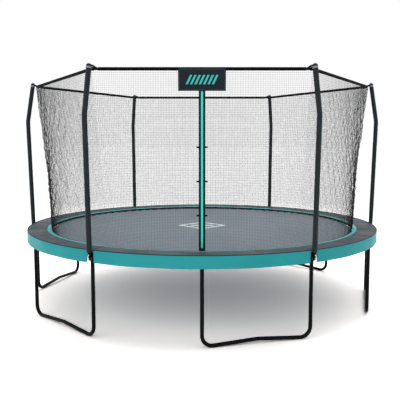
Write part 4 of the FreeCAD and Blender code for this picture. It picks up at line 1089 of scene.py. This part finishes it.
    def printed(self, flat: Array) -> Array:
        """Flat points laid on the mat's top."""
        return spread(flat[..., 0], flat[..., 1], self.height + self.thickness / 2 + self.print_lift)

    def build(self) -> None:
        """Makes the bed. The mat, loops and rings ride with the mat, and the springs are made in groups,
        baked in place on no body.
        """
        turns = self.spring_turns()
        # The mat's grey colour is painted sheen over black tapes
        mat = make_piece("mat_sheet", self.mat(), MAT_WEAVE_PAINTED_SHEEN, Body.MAT)
        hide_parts("jump_mat")
        stitches = make_piece("mat_hem_stitches", self.hem_stitches(), STITCHES, Body.MAT)
        loops = make_piece("mat_loops", repeated(self.loops(), turns), WEBBING, Body.MAT)
        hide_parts("ring_loops")
        rings = make_piece("mat_rings", repeated(self.ring(), turns), ZINC, Body.MAT)
        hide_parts("v_rings")
        motif = make_piece("mat_motif", self.motif(), PRINT_WHITE, Body.MAT)
        spring = self.spring()
        for index, group in enumerate(turns.reshape(-1, self.springs_per_piece)):
            piece = make_piece(f"springs_{index + 1:02d}", repeated(spring, group), ZINC, None)
            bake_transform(piece)
            if index == 0:
                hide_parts("springs")


@dataclass
class EdgePad:
    """The pad over the springs, the bright band at its inner edge and the skirt below its outer edge."""

    sections: int = 24
    bottom: float = 0.9175
    edge: float = 0.9445
    inner: float = 2.0495
    outer: float = 2.294
    crown: float = 0.005
    # Degrees from a seam to the columns up to the section's middle: the closest ones are round the poles
    columns_from_seam: tuple[float, ...] = (
        0.0, 0.08, 0.16, 0.24, 0.33, 0.42, 0.52, 0.62, 0.7, 0.76, 0.9, 1.15, 1.45, 1.8, 2.25, 2.8, 3.4, 4.0,
        4.7, 5.4, 6.1, 6.8, 7.5,
    )
    # Bend radii at the cover's corners: inner and outer lower, outer upper, crown and inner upper
    cover_bends: tuple[float, ...] = (0.006, 0.006, 0.011, 1.2, 0.011)
    cover_waves: tuple[float, ...] = (0.62, 0.21, 0.11)
    # The cover's unevenness fades in over this much of its height
    soft_from: float = 0.012
    soft_over: float = 0.016
    hollow: float = 0.0016
    channel_depth: float = 0.0085
    channel_half: float = 0.008
    gather_height: float = 0.0011
    gather_reach: float = 0.05
    gather_spacing: float = 0.024
    wander: float = 0.0012
    wander_count: int = 37
    pole_radius: float = 2.3113
    notch_radius: float = 0.031
    band_inner: float = 1.9965
    band_outer: float = 2.0489
    band_lip: float = 0.019
    band_bends: tuple[float, float] = (0.005, 0.006)
    band_waves: tuple[float, ...] = (0.9, 0.33, 0.16)
    band_soft: float = 0.012
    # How far the band's slow waves and the pinches at its seams run in, and how deep they are
    wave_run: float = 0.0022
    wave_depth: float = 0.0012
    pinch_run: float = 0.0018
    pinch_depth: float = 0.0022
    pinch_half: float = 0.010
    ruffle: float = 0.35
    ruffle_reach: float = 0.04
    ruffle_turn: float = 260.0
    skirt_radius: float = 2.2952
    skirt_drop: float = 0.002
    skirt_depth: float = 0.132
    skirt_thickness: float = 0.0012
    skirt_columns: int = 190
    skirt_bunching: float = 0.014
    # Shares of the skirt's depth at its rows. The hem is thicker and ends in a rounded edge
    skirt_rows: tuple[float, ...] = (0.0, 0.03, 0.12, 0.3, 0.5, 0.7, 0.835, 0.842, 0.93, 0.985, 1.0)
    skirt_hem_from: float = 0.84
    skirt_hem: float = 0.0009
    skirt_hem_edge: float = 0.0002
    skirt_waves: tuple[float, ...] = (0.7, 0.27, 0.14)
    skirt_fold: float = 0.0052
    skirt_hang_from: float = 0.05
    skirt_seam: float = 0.0007
    skirt_seam_half: float = 0.006
    skirt_dip: float = 0.0012
    skirt_dip_count: int = 23
    # The dark strip along the seam between pad and skirt, which paints the shade under the pad's edge
    shade_strip_height: float = 0.008
    shade_strip_rise: float = 0.004
    shade_strip_thickness: float = 0.0013
    shade_strip_rest: float = 0.0002
    shade_strip_columns: int = 120
    slot_top: float = 0.032
    slot_bottom: float = 0.044
    seeds: tuple[int, int, int] = (5, 8, 40)

    def columns(self) -> Array:
        """Turns of the pad's columns, close together by every seam and so by every pole."""
        near = np.radians(self.columns_from_seam)
        section = FULL_TURN / self.sections
        local = np.concatenate([near, (section - near[1:-1])[::-1]])
        return (np.arange(self.sections)[:, None] * section + local).ravel()

    def from_seam(self, turn: Array) -> Array:
        """Angle of each turn from its nearest seam, to either side."""
        section = FULL_TURN / self.sections
        return np.abs((turn + section / 2) % section - section / 2)

    def outer_edge(self, turn: Array) -> Array:
        """The pad's outer radius, which runs in round each pole: the pole's circle cuts it back."""
        off = turn % EDGE_TURN - EDGE_TURN / 2
        aside = self.pole_radius * np.sin(off)
        reach = np.sqrt(np.clip(self.notch_radius**2 - aside**2, 0, None))
        cut = np.where(reach > 0, self.pole_radius * np.cos(off) - reach, self.outer)
        return np.minimum(cut, self.outer)

    def closed_ring(self, line: Array, radius: Array, height: Array) -> Surface:
        """A section carried round the vertical axis over the pad's columns.

        Args:
            line: The plain section, which gives the cloth map.
            radius: Radius by point of the section and by column.
            height: Height by point of the section and by column.

        Returns:
            The closed surface.
        """
        turn = self.columns()
        points = around(radius, turn, height)
        return flipped(grid(points, girth(line), np.append(turn, FULL_TURN), (True, True)))

    def cover(self) -> Surface:
        """The pad as one closed ring of crowned sections.

        Height over a section is its crown, less a soft-sided channel at each seam and fine gathers that
        fan out from the seams. The inner edge wanders by a millimetre.

        Returns:
            The surface.
        """
        turn = self.columns()
        width = self.outer - self.inner
        corners = np.array([[0, self.bottom], [width, self.bottom], [width, self.edge],
                            [width / 2, self.edge + 2 * self.crown], [0, self.edge]])
        line = rounded(corners, dict(enumerate(self.cover_bends)), 5)
        share, level = line[:, :1] / width, line[:, 1:]
        distance = self.outer * self.from_seam(turn)
        channel = self.channel_depth * np.exp(-((distance / self.channel_half) ** 2))
        ripples = np.cos(distance * FULL_TURN / self.gather_spacing)
        gather = self.gather_height * np.exp(-distance / self.gather_reach) * ripples
        radius = self.inner + (self.outer_edge(turn) - self.inner) * share
        slow = smooth_noise(around(radius, turn, level), self.cover_waves, self.seeds[0])
        lift = gather - channel - self.hollow * (slow + 1)
        wander = self.wander * np.sin(turn * self.wander_count + 1)
        radius = radius + (1 - share) * wander * (share < 0.5)
        soft = np.clip((level - self.bottom - self.soft_from) / self.soft_over, 0, 1)
        return self.closed_ring(line, radius, level + lift * soft)

    def band(self) -> Surface:
        """The bright band as a closed ring: a sloping top, an upright lip, gathered at every seam."""
        turn = self.columns()
        corners = np.array([[self.band_inner, self.bottom], [self.band_outer, self.bottom],
                            [self.band_outer, self.edge], [self.band_inner, self.bottom + self.band_lip]])
        line = rounded(corners, dict(zip((2, 3), self.band_bends)), 4)
        # Halfway points stand in the two long runs, up the outer side and down the sloping top
        line = np.insert(line, (2, 7), [(line[1] + line[2]) / 2, (line[6] + line[7]) / 2], axis=0)
        distance = self.band_outer * self.from_seam(turn)
        inward = np.clip((self.band_outer - line[:, :1]) / (self.band_outer - self.band_inner), 0, 1)
        above = np.clip((line[:, 1:] - self.bottom) / self.band_soft, 0, 1)
        wave = smooth_noise(around(2.0, turn, 0.0), self.band_waves, self.seeds[1]) + 1
        ruffle = self.ruffle * np.exp(-distance / self.ruffle_reach) * np.cos(distance * self.ruffle_turn)
        pinch = np.exp(-((distance / self.pinch_half) ** 2)) + ruffle
        radius = line[:, :1] + inward * above * (self.wave_run * wave + self.pinch_run * pinch)
        height = line[:, 1:] - above * (self.pinch_depth * pinch + self.wave_depth * wave)
        return self.closed_ring(line, radius, height)

    def skirt_panel(self, index: int) -> Surface:
        """One skirt panel between two poles: it hangs in shallow folds that grow towards its lower hem.

        Args:
            index: Number of the panel, from the front.

        Returns:
            The outer side of the cloth.
        """
        drop = np.array(self.skirt_rows)[:, None]
        hem = np.where(drop >= self.skirt_hem_from, self.skirt_hem, 0.0)
        hem[-1] = self.skirt_hem_edge
        across = np.linspace(0, 1, self.skirt_columns)
        across = across - self.skirt_bunching * np.sin(across * FULL_TURN)
        half_gap = (self.slot_top + (self.slot_bottom - self.slot_top) * drop) / self.skirt_radius
        turn = (index - 0.5) * EDGE_TURN + half_gap + (EDGE_TURN - 2 * half_gap) * across
        noise = smooth_noise(around(2.3, turn, 0.3 * drop), self.skirt_waves, self.seeds[2] + index)
        fold = self.skirt_fold * np.clip(0.5 + 0.5 * noise, 0, 1)
        distance = self.skirt_radius * self.from_seam(turn)
        seam = self.skirt_seam * np.exp(-((distance / self.skirt_seam_half) ** 2))
        hang = np.clip(drop - self.skirt_hang_from, 0, 1)
        radius = self.skirt_radius + fold * hang + hem + seam * (hang > 0)
        top = self.edge - self.skirt_drop
        height = top - self.skirt_depth * drop + self.skirt_dip * hang * np.sin(turn * self.skirt_dip_count)
        width = EDGE_TURN * self.skirt_radius
        return grid(around(radius, turn, height), drop[:, 0] * self.skirt_depth, across * width)

    def seam_shade_strip(self, index: int) -> Surface:
        """The dark strip over the seam between the pad and one skirt panel, crowned and closed: painted shade
        under the pad's edge.
        """
        half_gap = self.slot_top / self.skirt_radius
        turn = np.linspace(half_gap, EDGE_TURN - half_gap, self.shade_strip_columns) + (index - 0.5) * EDGE_TURN
        outline = np.array([[0, 0], [0.7, 0], [1, 0.2], [1, 0.8], [0.7, 1], [0, 1]])
        outline = outline * (self.shade_strip_thickness, self.shade_strip_height)
        radius = self.skirt_radius + self.shade_strip_rest + outline[:, 0]
        height = self.edge + self.shade_strip_rise - self.shade_strip_height + outline[:, 1]
        points = around(radius, turn[:, None], height)
        surface = grid(points, turn * self.skirt_radius, girth(outline), (False, True))
        return capped(surface, len(turn), len(outline))

    def build(self) -> None:
        """Makes the pad, its band, the six skirt panels and the dark strip of painted shade between them."""
        cover = make_piece("pad_cover", self.cover(), PAD_COVER)
        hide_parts("spring_pad")
        band = make_piece("pad_edge_band", self.band(), BAND_COVER)
        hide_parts("pad_inner_band")
        for index in range(SIDES):
            panel = make_piece(f"skirt_panel_{index + 1}", self.skirt_panel(index), SKIRT_COVER)
            thicken(panel, self.skirt_thickness)
            if index == 0:
                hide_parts("skirt")
        # Dark strips that paint the shade under the pad's overhanging edge
        seam_shade_strips = joined([self.seam_shade_strip(index) for index in range(SIDES)])
        make_piece("pad_seam_shade", seam_shade_strips, SEAM_SHADE_PAINT)


@dataclass
class SafetyNet:
    """The net between the top ring and the mat's edge, drawn thread by thread."""

    base_radius: float = NET_RADIUS
    base: float = NET_BASE
    rise: float = NET_RISE
    slack: float = 0.010
    slack_reach: float = 0.06
    door_half_turn: float = math.asin(0.061 / NET_RADIUS)
    slit: float = 0.005
    # Real threads are under a millimetre thick and a few millimetres apart, and are drawn this coarse to show
    pitch: float = 0.017
    thread: float = 0.0015
    upright_rows: int = 64
    level_step: float = math.radians(0.65)
    # The level threads sink a little closer together low down
    settling: float = 1.09
    # Depth of the folds: slow billows, and creases that are deeper low down and where the net is gathered
    crease: float = 0.013
    noise_radius: float = 2.05
    billow_share: float = 0.6
    billow_rise: float = 0.35
    billow_waves: tuple[float, ...] = (0.42, 0.2)
    crease_share: float = 1.35
    crease_fade: float = 0.7
    crease_gather: float = 0.5
    crease_rise: float = 0.75
    crease_waves: tuple[float, ...] = (0.12, 0.075, 0.045)
    loose_power: float = 0.7
    seeds: tuple[int, int] = (61, 62)
    # Fullness and turn of the gathers at the net's lower and upper edge
    gather: tuple[float, float] = (2.0, 1.25)
    gather_turn: tuple[float, float] = (math.radians(75.5), math.radians(90))
    gather_width: float = math.radians(14)
    hem_height: float = 0.022
    hem_thickness: float = 0.0024
    hem_columns: int = 361
    hem_ripple: float = 0.0005
    hem_ripple_count: int = 150
    hem_map: tuple[float, ...] = (0.0, 0.003, 0.014, 0.025, 0.028, 0.039, 0.05)
    stretch_top: float = 1.28
    stretch_end: float = 0.9352
    # An open net's cloth is its threads alone, about a third of the space that it spans
    cloth_share: float = 0.34

    def radius(self, turn: Array, share: Array) -> Array:
        """Radius of the net: a circle below runs into the hexagon above, and its sides hang a finger slack.

        Args:
            turn: Angle from the front.
            share: Share of the height, from the lower edge.

        Returns:
            The radius.
        """
        top = RING_EDGE / np.cos((turn + EDGE_TURN / 2) % EDGE_TURN - EDGE_TURN / 2)
        slack = self.slack * self.sides(turn) * (1 - np.exp(-np.clip(share, 0, 1) / self.slack_reach))
        radius = self.base_radius + (top - self.base_radius) * share + slack
        flat = (self.base_radius + (RING_EDGE - self.base_radius) * share) / np.cos(turn)
        return np.where(np.cos(turn) >= math.cos(self.door_half_turn), flat, radius)

    def sides(self, turn: Array) -> Array:
        """1 at the net's left and right, and nearly 0 at its front and back."""
        return np.clip((np.abs(np.sin(turn)) - 0.35) / 0.4, 0.12, 1)

    def fullness(self, turn: Array, middle: Array | float) -> Array:
        """1 where the net hangs gathered, at a turn to its left and right, and 0 away from there."""
        aside = np.abs((turn + math.pi) % FULL_TURN - math.pi)
        return np.exp(-(((aside - middle) / self.gather_width) ** 2))

    def gathered(self, start: float, finish: float, edge: int, count: int = 0) -> Array:
        """Turns of the upright threads between two turns, set closer where the net is gathered at its sides.

        Args:
            start: First turn.
            finish: Last turn.
            edge: 0 for the lower edge and 1 for the upper.
            count: Number of gaps, or 0 for as many as the pitch gives.

        Returns:
            The turns.
        """
        turn = np.linspace(start, finish, 400)
        fullness = 1 + self.gather[edge] * self.fullness(turn, self.gather_turn[edge])
        cloth = np.concatenate([[0.0], np.cumsum((fullness[1:] + fullness[:-1]) / 2 * np.diff(turn))])
        count = count or max(2, round(cloth[-1] * self.base_radius / self.pitch))
        return np.interp(np.linspace(0, cloth[-1], count + 1), cloth, turn)

    def place(self, turn: Array, share: Array) -> Array:
        """Places on the net, with slow billows and short upright creases that fade at its edges."""
        turn, share = np.broadcast_arrays(turn, share)
        rise = self.rise * share
        billow_at = around(self.noise_radius, turn, self.billow_rise * rise)
        crease_at = around(self.noise_radius, turn, self.crease_rise * rise)
        billow = smooth_noise(billow_at, self.billow_waves, self.seeds[0])
        creases = smooth_noise(crease_at, self.crease_waves, self.seeds[1])
        gather = 1 + self.crease_gather * self.fullness(turn, np.interp(share, (0, 1), self.gather_turn))
        fold = self.billow_share * billow + gather * (self.crease_share - self.crease_fade * share) * creases
        loose = np.sin(math.pi * np.clip(share, 0, 1)) ** self.loose_power
        out = self.radius(turn, share) + self.crease * fold * self.sides(turn) * loose
        return around(out, turn, self.base + rise)

    def bundle(self, lines: Array) -> Surface:
        """Threads along lines: each carries a three-sided outline square to the line and the axis' radius.

        Args:
            lines: Lines by points by 3.

        Returns:
            All the threads as one surface, each closed at both ends.
        """
        out = level_out(lines)
        side = unit(np.cross(unit(np.gradient(lines, axis=1)), out))
        section = self.thread / math.sqrt(3) * direction(math.pi / 2 - even_angles(3))
        ring = lines[:, :, None] + section[:, :1] * side[:, :, None] + section[:, 1:] * out[:, :, None]
        number = np.arange(ring[..., 0].size).reshape(ring.shape[:3])
        ahead = np.roll(number, -1, 2)
        faces = np.stack([number[:, :-1], ahead[:, :-1], ahead[:, 1:], number[:, 1:]], -1).reshape(-1, 4)
        caps = np.concatenate([number[:, 0, ::-1], number[:, -1]])
        cloth = np.zeros((faces.size + caps.size, 2))
        return Surface(ring.reshape(-1, 3), faces.tolist() + caps.tolist(), cloth)

    def panel(self, start: float, finish: float) -> Surface:
        """The threads of the net between two turns.

        Args:
            start: First turn.
            finish: Last turn.

        Returns:
            The surface.
        """
        lower = self.gathered(start, finish, 0)
        upper = self.gathered(start, finish, 1, len(lower) - 1)
        hem_share = self.hem_height / self.rise
        shares = np.linspace(hem_share, 1, self.upright_rows)
        upright_threads = self.place(lower[:, None] + (upper - lower)[:, None] * shares, shares)
        rows = round((self.rise - self.hem_height) / self.pitch)
        levels = np.linspace(hem_share, 1, rows + 1)[1:-1] ** self.settling
        along = np.linspace(start, finish, round((finish - start) / self.level_step) + 1)
        level_threads = self.place(along, levels[:, None])
        return joined([self.bundle(upright_threads), self.bundle(level_threads)])

    def hem(self) -> Surface:
        """The solid band along the net's lower edge, parted at the door."""
        gap = self.slit / self.base_radius
        turn = np.linspace(gap, FULL_TURN - gap, self.hem_columns)
        # The band's outline: foot, middle or top of the hem, and its inner or outer face
        row, face = np.array([[0, -1], [0, 1], [1, 1], [2, 1], [2, -1], [1, -1]]).T
        middle = self.place(turn[:, None], row / 2 * self.hem_height / self.rise)
        ripple = self.hem_ripple * np.sin(turn * self.hem_ripple_count)[:, None]
        points = middle + level_out(middle) * (self.hem_thickness / 2 * face + ripple)[..., None]
        surface = grid(points, turn * self.base_radius, self.hem_map, (False, True))
        return capped(surface, len(turn), len(row))

    def stretch(self, piece: bpy.types.Object) -> None:
        """Bakes a piece's placement into its points, in the model's frame."""
        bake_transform(piece)

    def build(self) -> None:
        """Makes the net's six panels and its lower hem."""
        hem = make_piece("net_lower_hem", self.hem(), WEBBING, None)
        self.stretch(hem)
        bounds = EDGE_TURN * np.arange(SIDES + 1)
        bounds[[0, -1]] += np.array([self.slit, -self.slit]) / self.base_radius
        for index in range(SIDES):
            threads = self.panel(bounds[index], bounds[index + 1])
            piece = make_piece(f"net_panel_{index + 1}", threads, NET_THREAD, None)
            self.stretch(piece)
            if index == 0:
                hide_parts("safety_net")


@dataclass
class Door:
    """The zipped slit in the net's front, with its webbing, zip and buckles."""

    tilt: float = math.atan((NET_RADIUS - RING_EDGE) / NET_RISE)
    start: float = 0.016
    finish: float = 1.8224
    face: float = 0.0028
    band_width: float = 0.066
    band_thickness: float = 0.0015
    zip_width: float = 0.030
    tape_thickness: float = 0.0013
    overlap: float = 0.0039
    # Black webbing closes the zip's foot
    closed_foot: float = 0.038
    tooth_pitch: float = 0.006
    tooth_size: tuple[float, float, float] = (0.0038, 0.0019, 0.0034)
    tooth_shift: float = 0.0009
    tooth_lift: float = 0.0001
    strap_heights: tuple[float, ...] = (0.386, 0.735, 1.084)
    strap_span: float = 0.115
    strap_gap: float = 0.005
    strap_width: float = 0.017
    strap_face: float = 0.0013
    strap_thickness: float = 0.0012
    strip_step: float = 0.03

    def place(self, surface: Surface) -> Surface:
        """A local surface (right, inward, up the zip) in the model's frame."""
        sine, cosine = math.sin(self.tilt), math.cos(self.tilt)
        axes = np.array([[1, 0, 0], [0, cosine, -sine], [0, sine, cosine]])
        return Surface(surface.points @ axes + (0, -NET_RADIUS, NET_BASE), surface.faces, surface.cloth)

    def strip(
        self, low: tuple[float, float], high: tuple[float, float], near: float, thickness: float
    ) -> Surface:
        """A flat strip of cloth with rounded edges.

        Args:
            low: Left and lower edge.
            high: Right and upper edge.
            near: Distance of its back from the net's middle.
            thickness: Thickness, outward.

        Returns:
            The closed surface in the model's frame.
        """
        count = max(2, math.ceil((high[1] - low[1]) / self.strip_step) + 1)
        path = spread((low[0] + high[0]) / 2, -near - thickness / 2, np.linspace(low[1], high[1], count))
        quarter = np.array([[0.5, 0.35], [0.46, 0.5], [0.0, 0.5]])
        half = np.vstack([quarter[:1] * (1, -1), quarter, quarter[1:2] * (-1, 1)])
        return self.place(sweep(path, OUTWARD, np.vstack([half, -half]) * (high[0] - low[0], thickness)))

    def teeth(self) -> Surface:
        """The zip's chain: low blocks that reach across the middle from each side in turn."""
        start = self.start + self.closed_foot
        count = int((self.finish - start) / self.tooth_pitch)
        box = np.array([[x, y, z] for z in (-0.5, 0.5) for y in (-1, 0) for x in (-0.5, 0.5)])
        box = box * self.tooth_size
        quads = np.array([[0, 2, 3, 1], [4, 5, 7, 6], [0, 1, 5, 4], [2, 6, 7, 3], [0, 4, 6, 2], [1, 3, 7, 5]])
        faces = (np.arange(count)[:, None, None] * len(box) + quads).reshape(-1, 4)
        blocks = []
        for side in (-1, 1):
            up = start + (np.arange(count) + 0.5 + 0.25 * side) * self.tooth_pitch
            back = self.tooth_lift - self.face - self.band_thickness
            middles = spread(side * self.tooth_shift, back, up)
            points = (middles[:, None] + box).reshape(-1, 3)
            blocks.append(self.place(Surface(points, faces.tolist(), np.zeros((faces.size, 2)))))
        return joined(blocks)

    def straps(self) -> Surface:
        """Short webbing straps inside the net, either side of the slit, at every buckle."""
        near, half, back = self.strap_gap, self.strap_width / 2, -self.strap_face - self.strap_thickness
        far = self.strap_span / 2
        return joined([
            self.strip((left, height - half), (right, height + half), back, self.strap_thickness)
            for height in self.strap_heights
            for left, right in ((near, far), (-far, -near))
        ])

    def build(self, net: SafetyNet) -> None:
        """Makes the door's cloth and dresses its fittings.

        Args:
            net: The net, whose stretch method bakes the door's cloth in place.
        """
        side, half = self.zip_width / 2, self.band_width / 2
        edge = side - self.overlap
        closed = self.start + self.closed_foot
        spans = ((edge, half, self.finish), (-half, -edge, self.finish), (-edge, edge, closed))
        bands = [
            self.strip((left, self.start), (right, top), self.face + self.tape_thickness, self.band_thickness)
            for left, right, top in spans
        ]
        tape = self.strip((-side, self.start), (side, self.finish), self.face, self.tape_thickness)
        webbing = make_piece("door_bands", joined(bands), WEBBING, None)
        zip_cloth = make_piece("zip_cloth", tape, ZIP_TAPE, None)
        teeth = make_piece("zip_teeth", self.teeth(), ZIP_TEETH, None)
        for piece in (webbing, zip_cloth, teeth):
            net.stretch(piece)
        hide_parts("door_webbing")
        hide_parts("zip_tape")
        straps = make_piece("buckle_webbing", self.straps(), WEBBING)
        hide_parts("buckle_straps")
        dress(ZIP_METAL, "zip_slider", "zip_pull")
        tongues = [f"buckle_tongue_{index + 1}" for index in range(len(self.strap_heights))]
        dress(BLACK_PLASTIC, "buckle_sockets", *tongues)


@dataclass
class Banner:
    """The cloth banner folded over the front rod, with a plain printed design."""

    fold_radius: float = 0.0183
    base: float = 2.560
    back_drop: float = 0.045
    width: float = 0.480
    thickness: float = 0.0018
    columns: int = 33
    wave: float = 0.0012
    wave_reach: float = 0.2
    wave_turn: float = 9.0
    # The row of thread round the front: its insets from the sides and from the rod, bends and thread
    thread_inset: float = 0.012
    thread_below: float = 0.006
    thread_bend: float = 0.008
    thread_radius: float = 0.0009
    thread_lift: float = 0.0006
    # The printed bars: their number, first and last place, width, lean, and insets from the banner's edges
    marks: int = 7
    mark_places: tuple[float, float] = (-0.165, 0.098)
    mark_width: float = 0.022
    mark_lean: float = 0.045
    mark_above: float = 0.066
    mark_below: float = 0.062
    mark_lift: float = 0.0016

    def front(self, lift: float) -> float:
        """Place along y of what lies this far in front of the cloth."""
        return -(RING_EDGE + self.fold_radius + self.thickness / 2 + lift)

    def line(self) -> Array:
        """Section of the banner as outward and up: up the front, half round the rod and down behind."""
        fold = (RING_EDGE, RING_HEIGHT) + self.fold_radius * direction(np.linspace(0, math.pi, 13))
        front = spread(RING_EDGE + self.fold_radius, np.linspace(self.base, RING_HEIGHT, 12)[:-1])
        back = spread(RING_EDGE - self.fold_radius, RING_HEIGHT - self.back_drop * np.linspace(0, 1, 4)[1:])
        return np.vstack([front, fold, back])

    def cloth(self) -> Surface:
        """The banner's outer side, with slow waves that fade towards the rod."""
        line = self.line()
        outward, up = line[:, :1], line[:, 1:]
        across = np.linspace(-self.width / 2, self.width / 2, self.columns)
        free = np.clip((RING_HEIGHT - up) / self.wave_reach, 0, 1)
        wave = self.wave * free * np.sin(across / self.width * self.wave_turn + 1)
        side = np.where(outward > RING_EDGE, 1.0, -1.0)
        points = spread(across, -(outward + (self.thickness / 2 + wave) * side), up)
        return grid(points[:, ::-1], lengths(line), across[::-1])

    def border(self) -> Surface:
        """A row of raised thread round the front face."""
        half = self.width / 2 - self.thread_inset
        low, high = self.base + self.thread_inset, RING_HEIGHT - self.thread_below
        corners = np.array([[-half, low], [half, low], [half, high], [-half, high]])
        flat = rounded(corners, dict.fromkeys(range(4), self.thread_bend), 4)
        path = spread(flat[:, 0], self.front(self.thread_lift), flat[:, 1])
        return sweep(path, -SIDEWAYS, circle(self.thread_radius, 4), closed=True)

    def design(self) -> Surface:
        """A row of slanted bars of one width, a hair in front of the cloth."""
        low, high = self.base + self.mark_above, RING_HEIGHT - self.mark_below
        share = np.linspace(0, 1, 6)[:, None]
        bars = []
        for left in np.linspace(*self.mark_places, self.marks):
            across = left + self.mark_lean * share + [self.mark_width, 0]
            points = spread(across, self.front(self.mark_lift), low + (high - low) * share)
            bars.append(grid(points, (high - low) * share[:, 0], [self.mark_width, 0]))
        return joined(bars)

    def build(self) -> None:
        """Makes the banner and its print."""
        cloth = make_piece("banner_cloth", self.cloth(), BANNER_CLOTH)
        thicken(cloth, self.thickness)
        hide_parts("banner")
        border = make_piece("banner_stitches", self.border(), STITCHES)
        design = make_piece("banner_print", self.design(), PRINT_TEAL)


@dataclass(frozen=True)
class Sun:
    """A soft parallel light.

    Attributes:
        name: Name of the lamp.
        towards: Direction from the trampoline to the light.
        spread: Angle that the light comes from, in degrees.
        power: Strength in watts per square metre.
    """

    name: str
    towards: tuple[float, float, float]
    spread: float
    power: float


@dataclass
class Studio:
    """Camera, lamps, white surroundings and the floor."""

    camera_place: tuple[float, float, float] = (0.001, -7.809, 2.052)
    pitch: float = math.radians(90 - 5.807)
    lens: float = 51.70
    shift: float = -0.0053
    clip_end: float = 600.0
    lamp_distance: float = 6.0
    floor_size: float = 400.0
    floor_colour: str = "#D5D5D5"
    daylight: float = 0.40
    floor_gain: float = 2.04
    far_gain: float = 1.06
    gain_ends: tuple[float, float] = (5.0, 12.0)
    floor_tint: tuple[float, float, float] = (1.0, 0.96, 0.94)
    suns: tuple[Sun, ...] = (
        Sun("sun_left", (-1.0, -0.8, 0.5), 60.0, 0.8),
        Sun("sun_front", (0.3, -1.0, 0.28), 80.0, 0.71),
        Sun("sun_top", (0.1, 0.66, 1.0), 84.0, 1.6),
    )

    def camera(self) -> None:
        """Places the camera where the photograph was taken from."""
        data = bpy.data.cameras.new("camera")
        data.lens = self.lens
        data.shift_x = self.shift
        data.clip_end = self.clip_end
        eye = link_new("camera", data)
        eye.location = self.camera_place
        eye.rotation_euler = (self.pitch, 0, 0)
        bpy.context.scene.camera = eye

    def lights(self) -> None:
        """Sets the soft suns, which light the floor evenly however far it runs."""
        for sun in self.suns:
            data = bpy.data.lights.new(sun.name, "SUN")
            data.angle = math.radians(sun.spread)
            data.energy = sun.power
            lamp = link_new(sun.name, data)
            lamp.location = Vector(sun.towards) * self.lamp_distance
            lamp.rotation_euler = Vector(sun.towards).to_track_quat("Z", "Y").to_euler()

    def seen(self, tree: bpy.types.NodeTree) -> bpy.types.NodeSocket:
        """1 for what the camera sees straight, in gloss or through a clear surface, and 0 for other light."""
        path = add(tree, "ShaderNodeLightPath").outputs
        seen = path["Is Camera Ray"]
        for other in ("Is Glossy Ray", "Is Transmission Ray"):
            seen = add(tree, "ShaderNodeMath", {0: seen, 1: path[other]}, operation="MAXIMUM").outputs[0]
        return seen

    def surroundings(self) -> None:
        """White to the camera and in gloss, a milder white as light."""
        world = bpy.data.worlds.new("surroundings")
        bpy.context.scene.world = world
        tree = cleared(world)
        strength = add(tree, "ShaderNodeMapRange", {"Value": self.seen(tree), "To Min": self.daylight})
        white = {"Color": (1.0, 1.0, 1.0, 1.0), "Strength": strength.outputs["Result"]}
        light = add(tree, "ShaderNodeBackground", white)
        add(tree, "ShaderNodeOutputWorld", {"Surface": light.outputs[0]})

    def floor(self) -> None:
        """A wide pale floor that looks white to the camera outside the shadow."""
        corners = np.pad(rectangle(self.floor_size, self.floor_size), ((0, 0), (0, 1)))
        mesh = bpy.data.meshes.new("floor")
        mesh.from_pydata(corners, [], [range(len(corners))])
        material = bpy.data.materials.new("pale_floor")
        tree = cleared(material)
        where = add(tree, "ShaderNodeTexCoord").outputs["Object"]
        distance = add(tree, "ShaderNodeVectorMath", {0: where}, operation="LENGTH").outputs["Value"]
        ends = {"Value": distance, "From Min": self.gain_ends[0], "From Max": self.gain_ends[1]}
        far = add(tree, "ShaderNodeMapRange", ends).outputs["Result"]
        near_colour = tuple(share * self.floor_gain for share in self.floor_tint) + (1.0,)
        far_colour = (self.far_gain,) * 3 + (1.0,)
        tint = add(tree, "ShaderNodeMix", {0: far, 6: near_colour, 7: far_colour}, data_type="RGBA")
        plain = add(tree, "ShaderNodeBsdfDiffuse", {"Color": linear(self.floor_colour)}).outputs[0]
        bright = add(tree, "ShaderNodeBsdfDiffuse", {"Color": tint.outputs[2]}).outputs[0]
        mixed = add(tree, "ShaderNodeMixShader", {0: self.seen(tree), 1: plain, 2: bright})
        add(tree, "ShaderNodeOutputMaterial", {"Surface": mixed.outputs[0]})
        mesh.materials.append(material)
        floor = link_new("floor", mesh)

    def build(self) -> None:
        """Sets the whole studio."""
        self.camera()
        self.lights()
        self.surroundings()
        self.floor()
        bpy.context.scene.view_settings.view_transform = "Standard"


def main() -> None:
    """Builds the studio and every sub-assembly."""
    logging.basicConfig(level=logging.INFO, format="%(name)s: %(message)s")
    Studio().build()
    Stand().build()
    Poles().build()
    TopRing().build()
    JumpingBed().build()
    EdgePad().build()
    net = SafetyNet()
    net.build()
    Door().build(net)
    Banner().build()


if __name__ == "__main__":
    main()
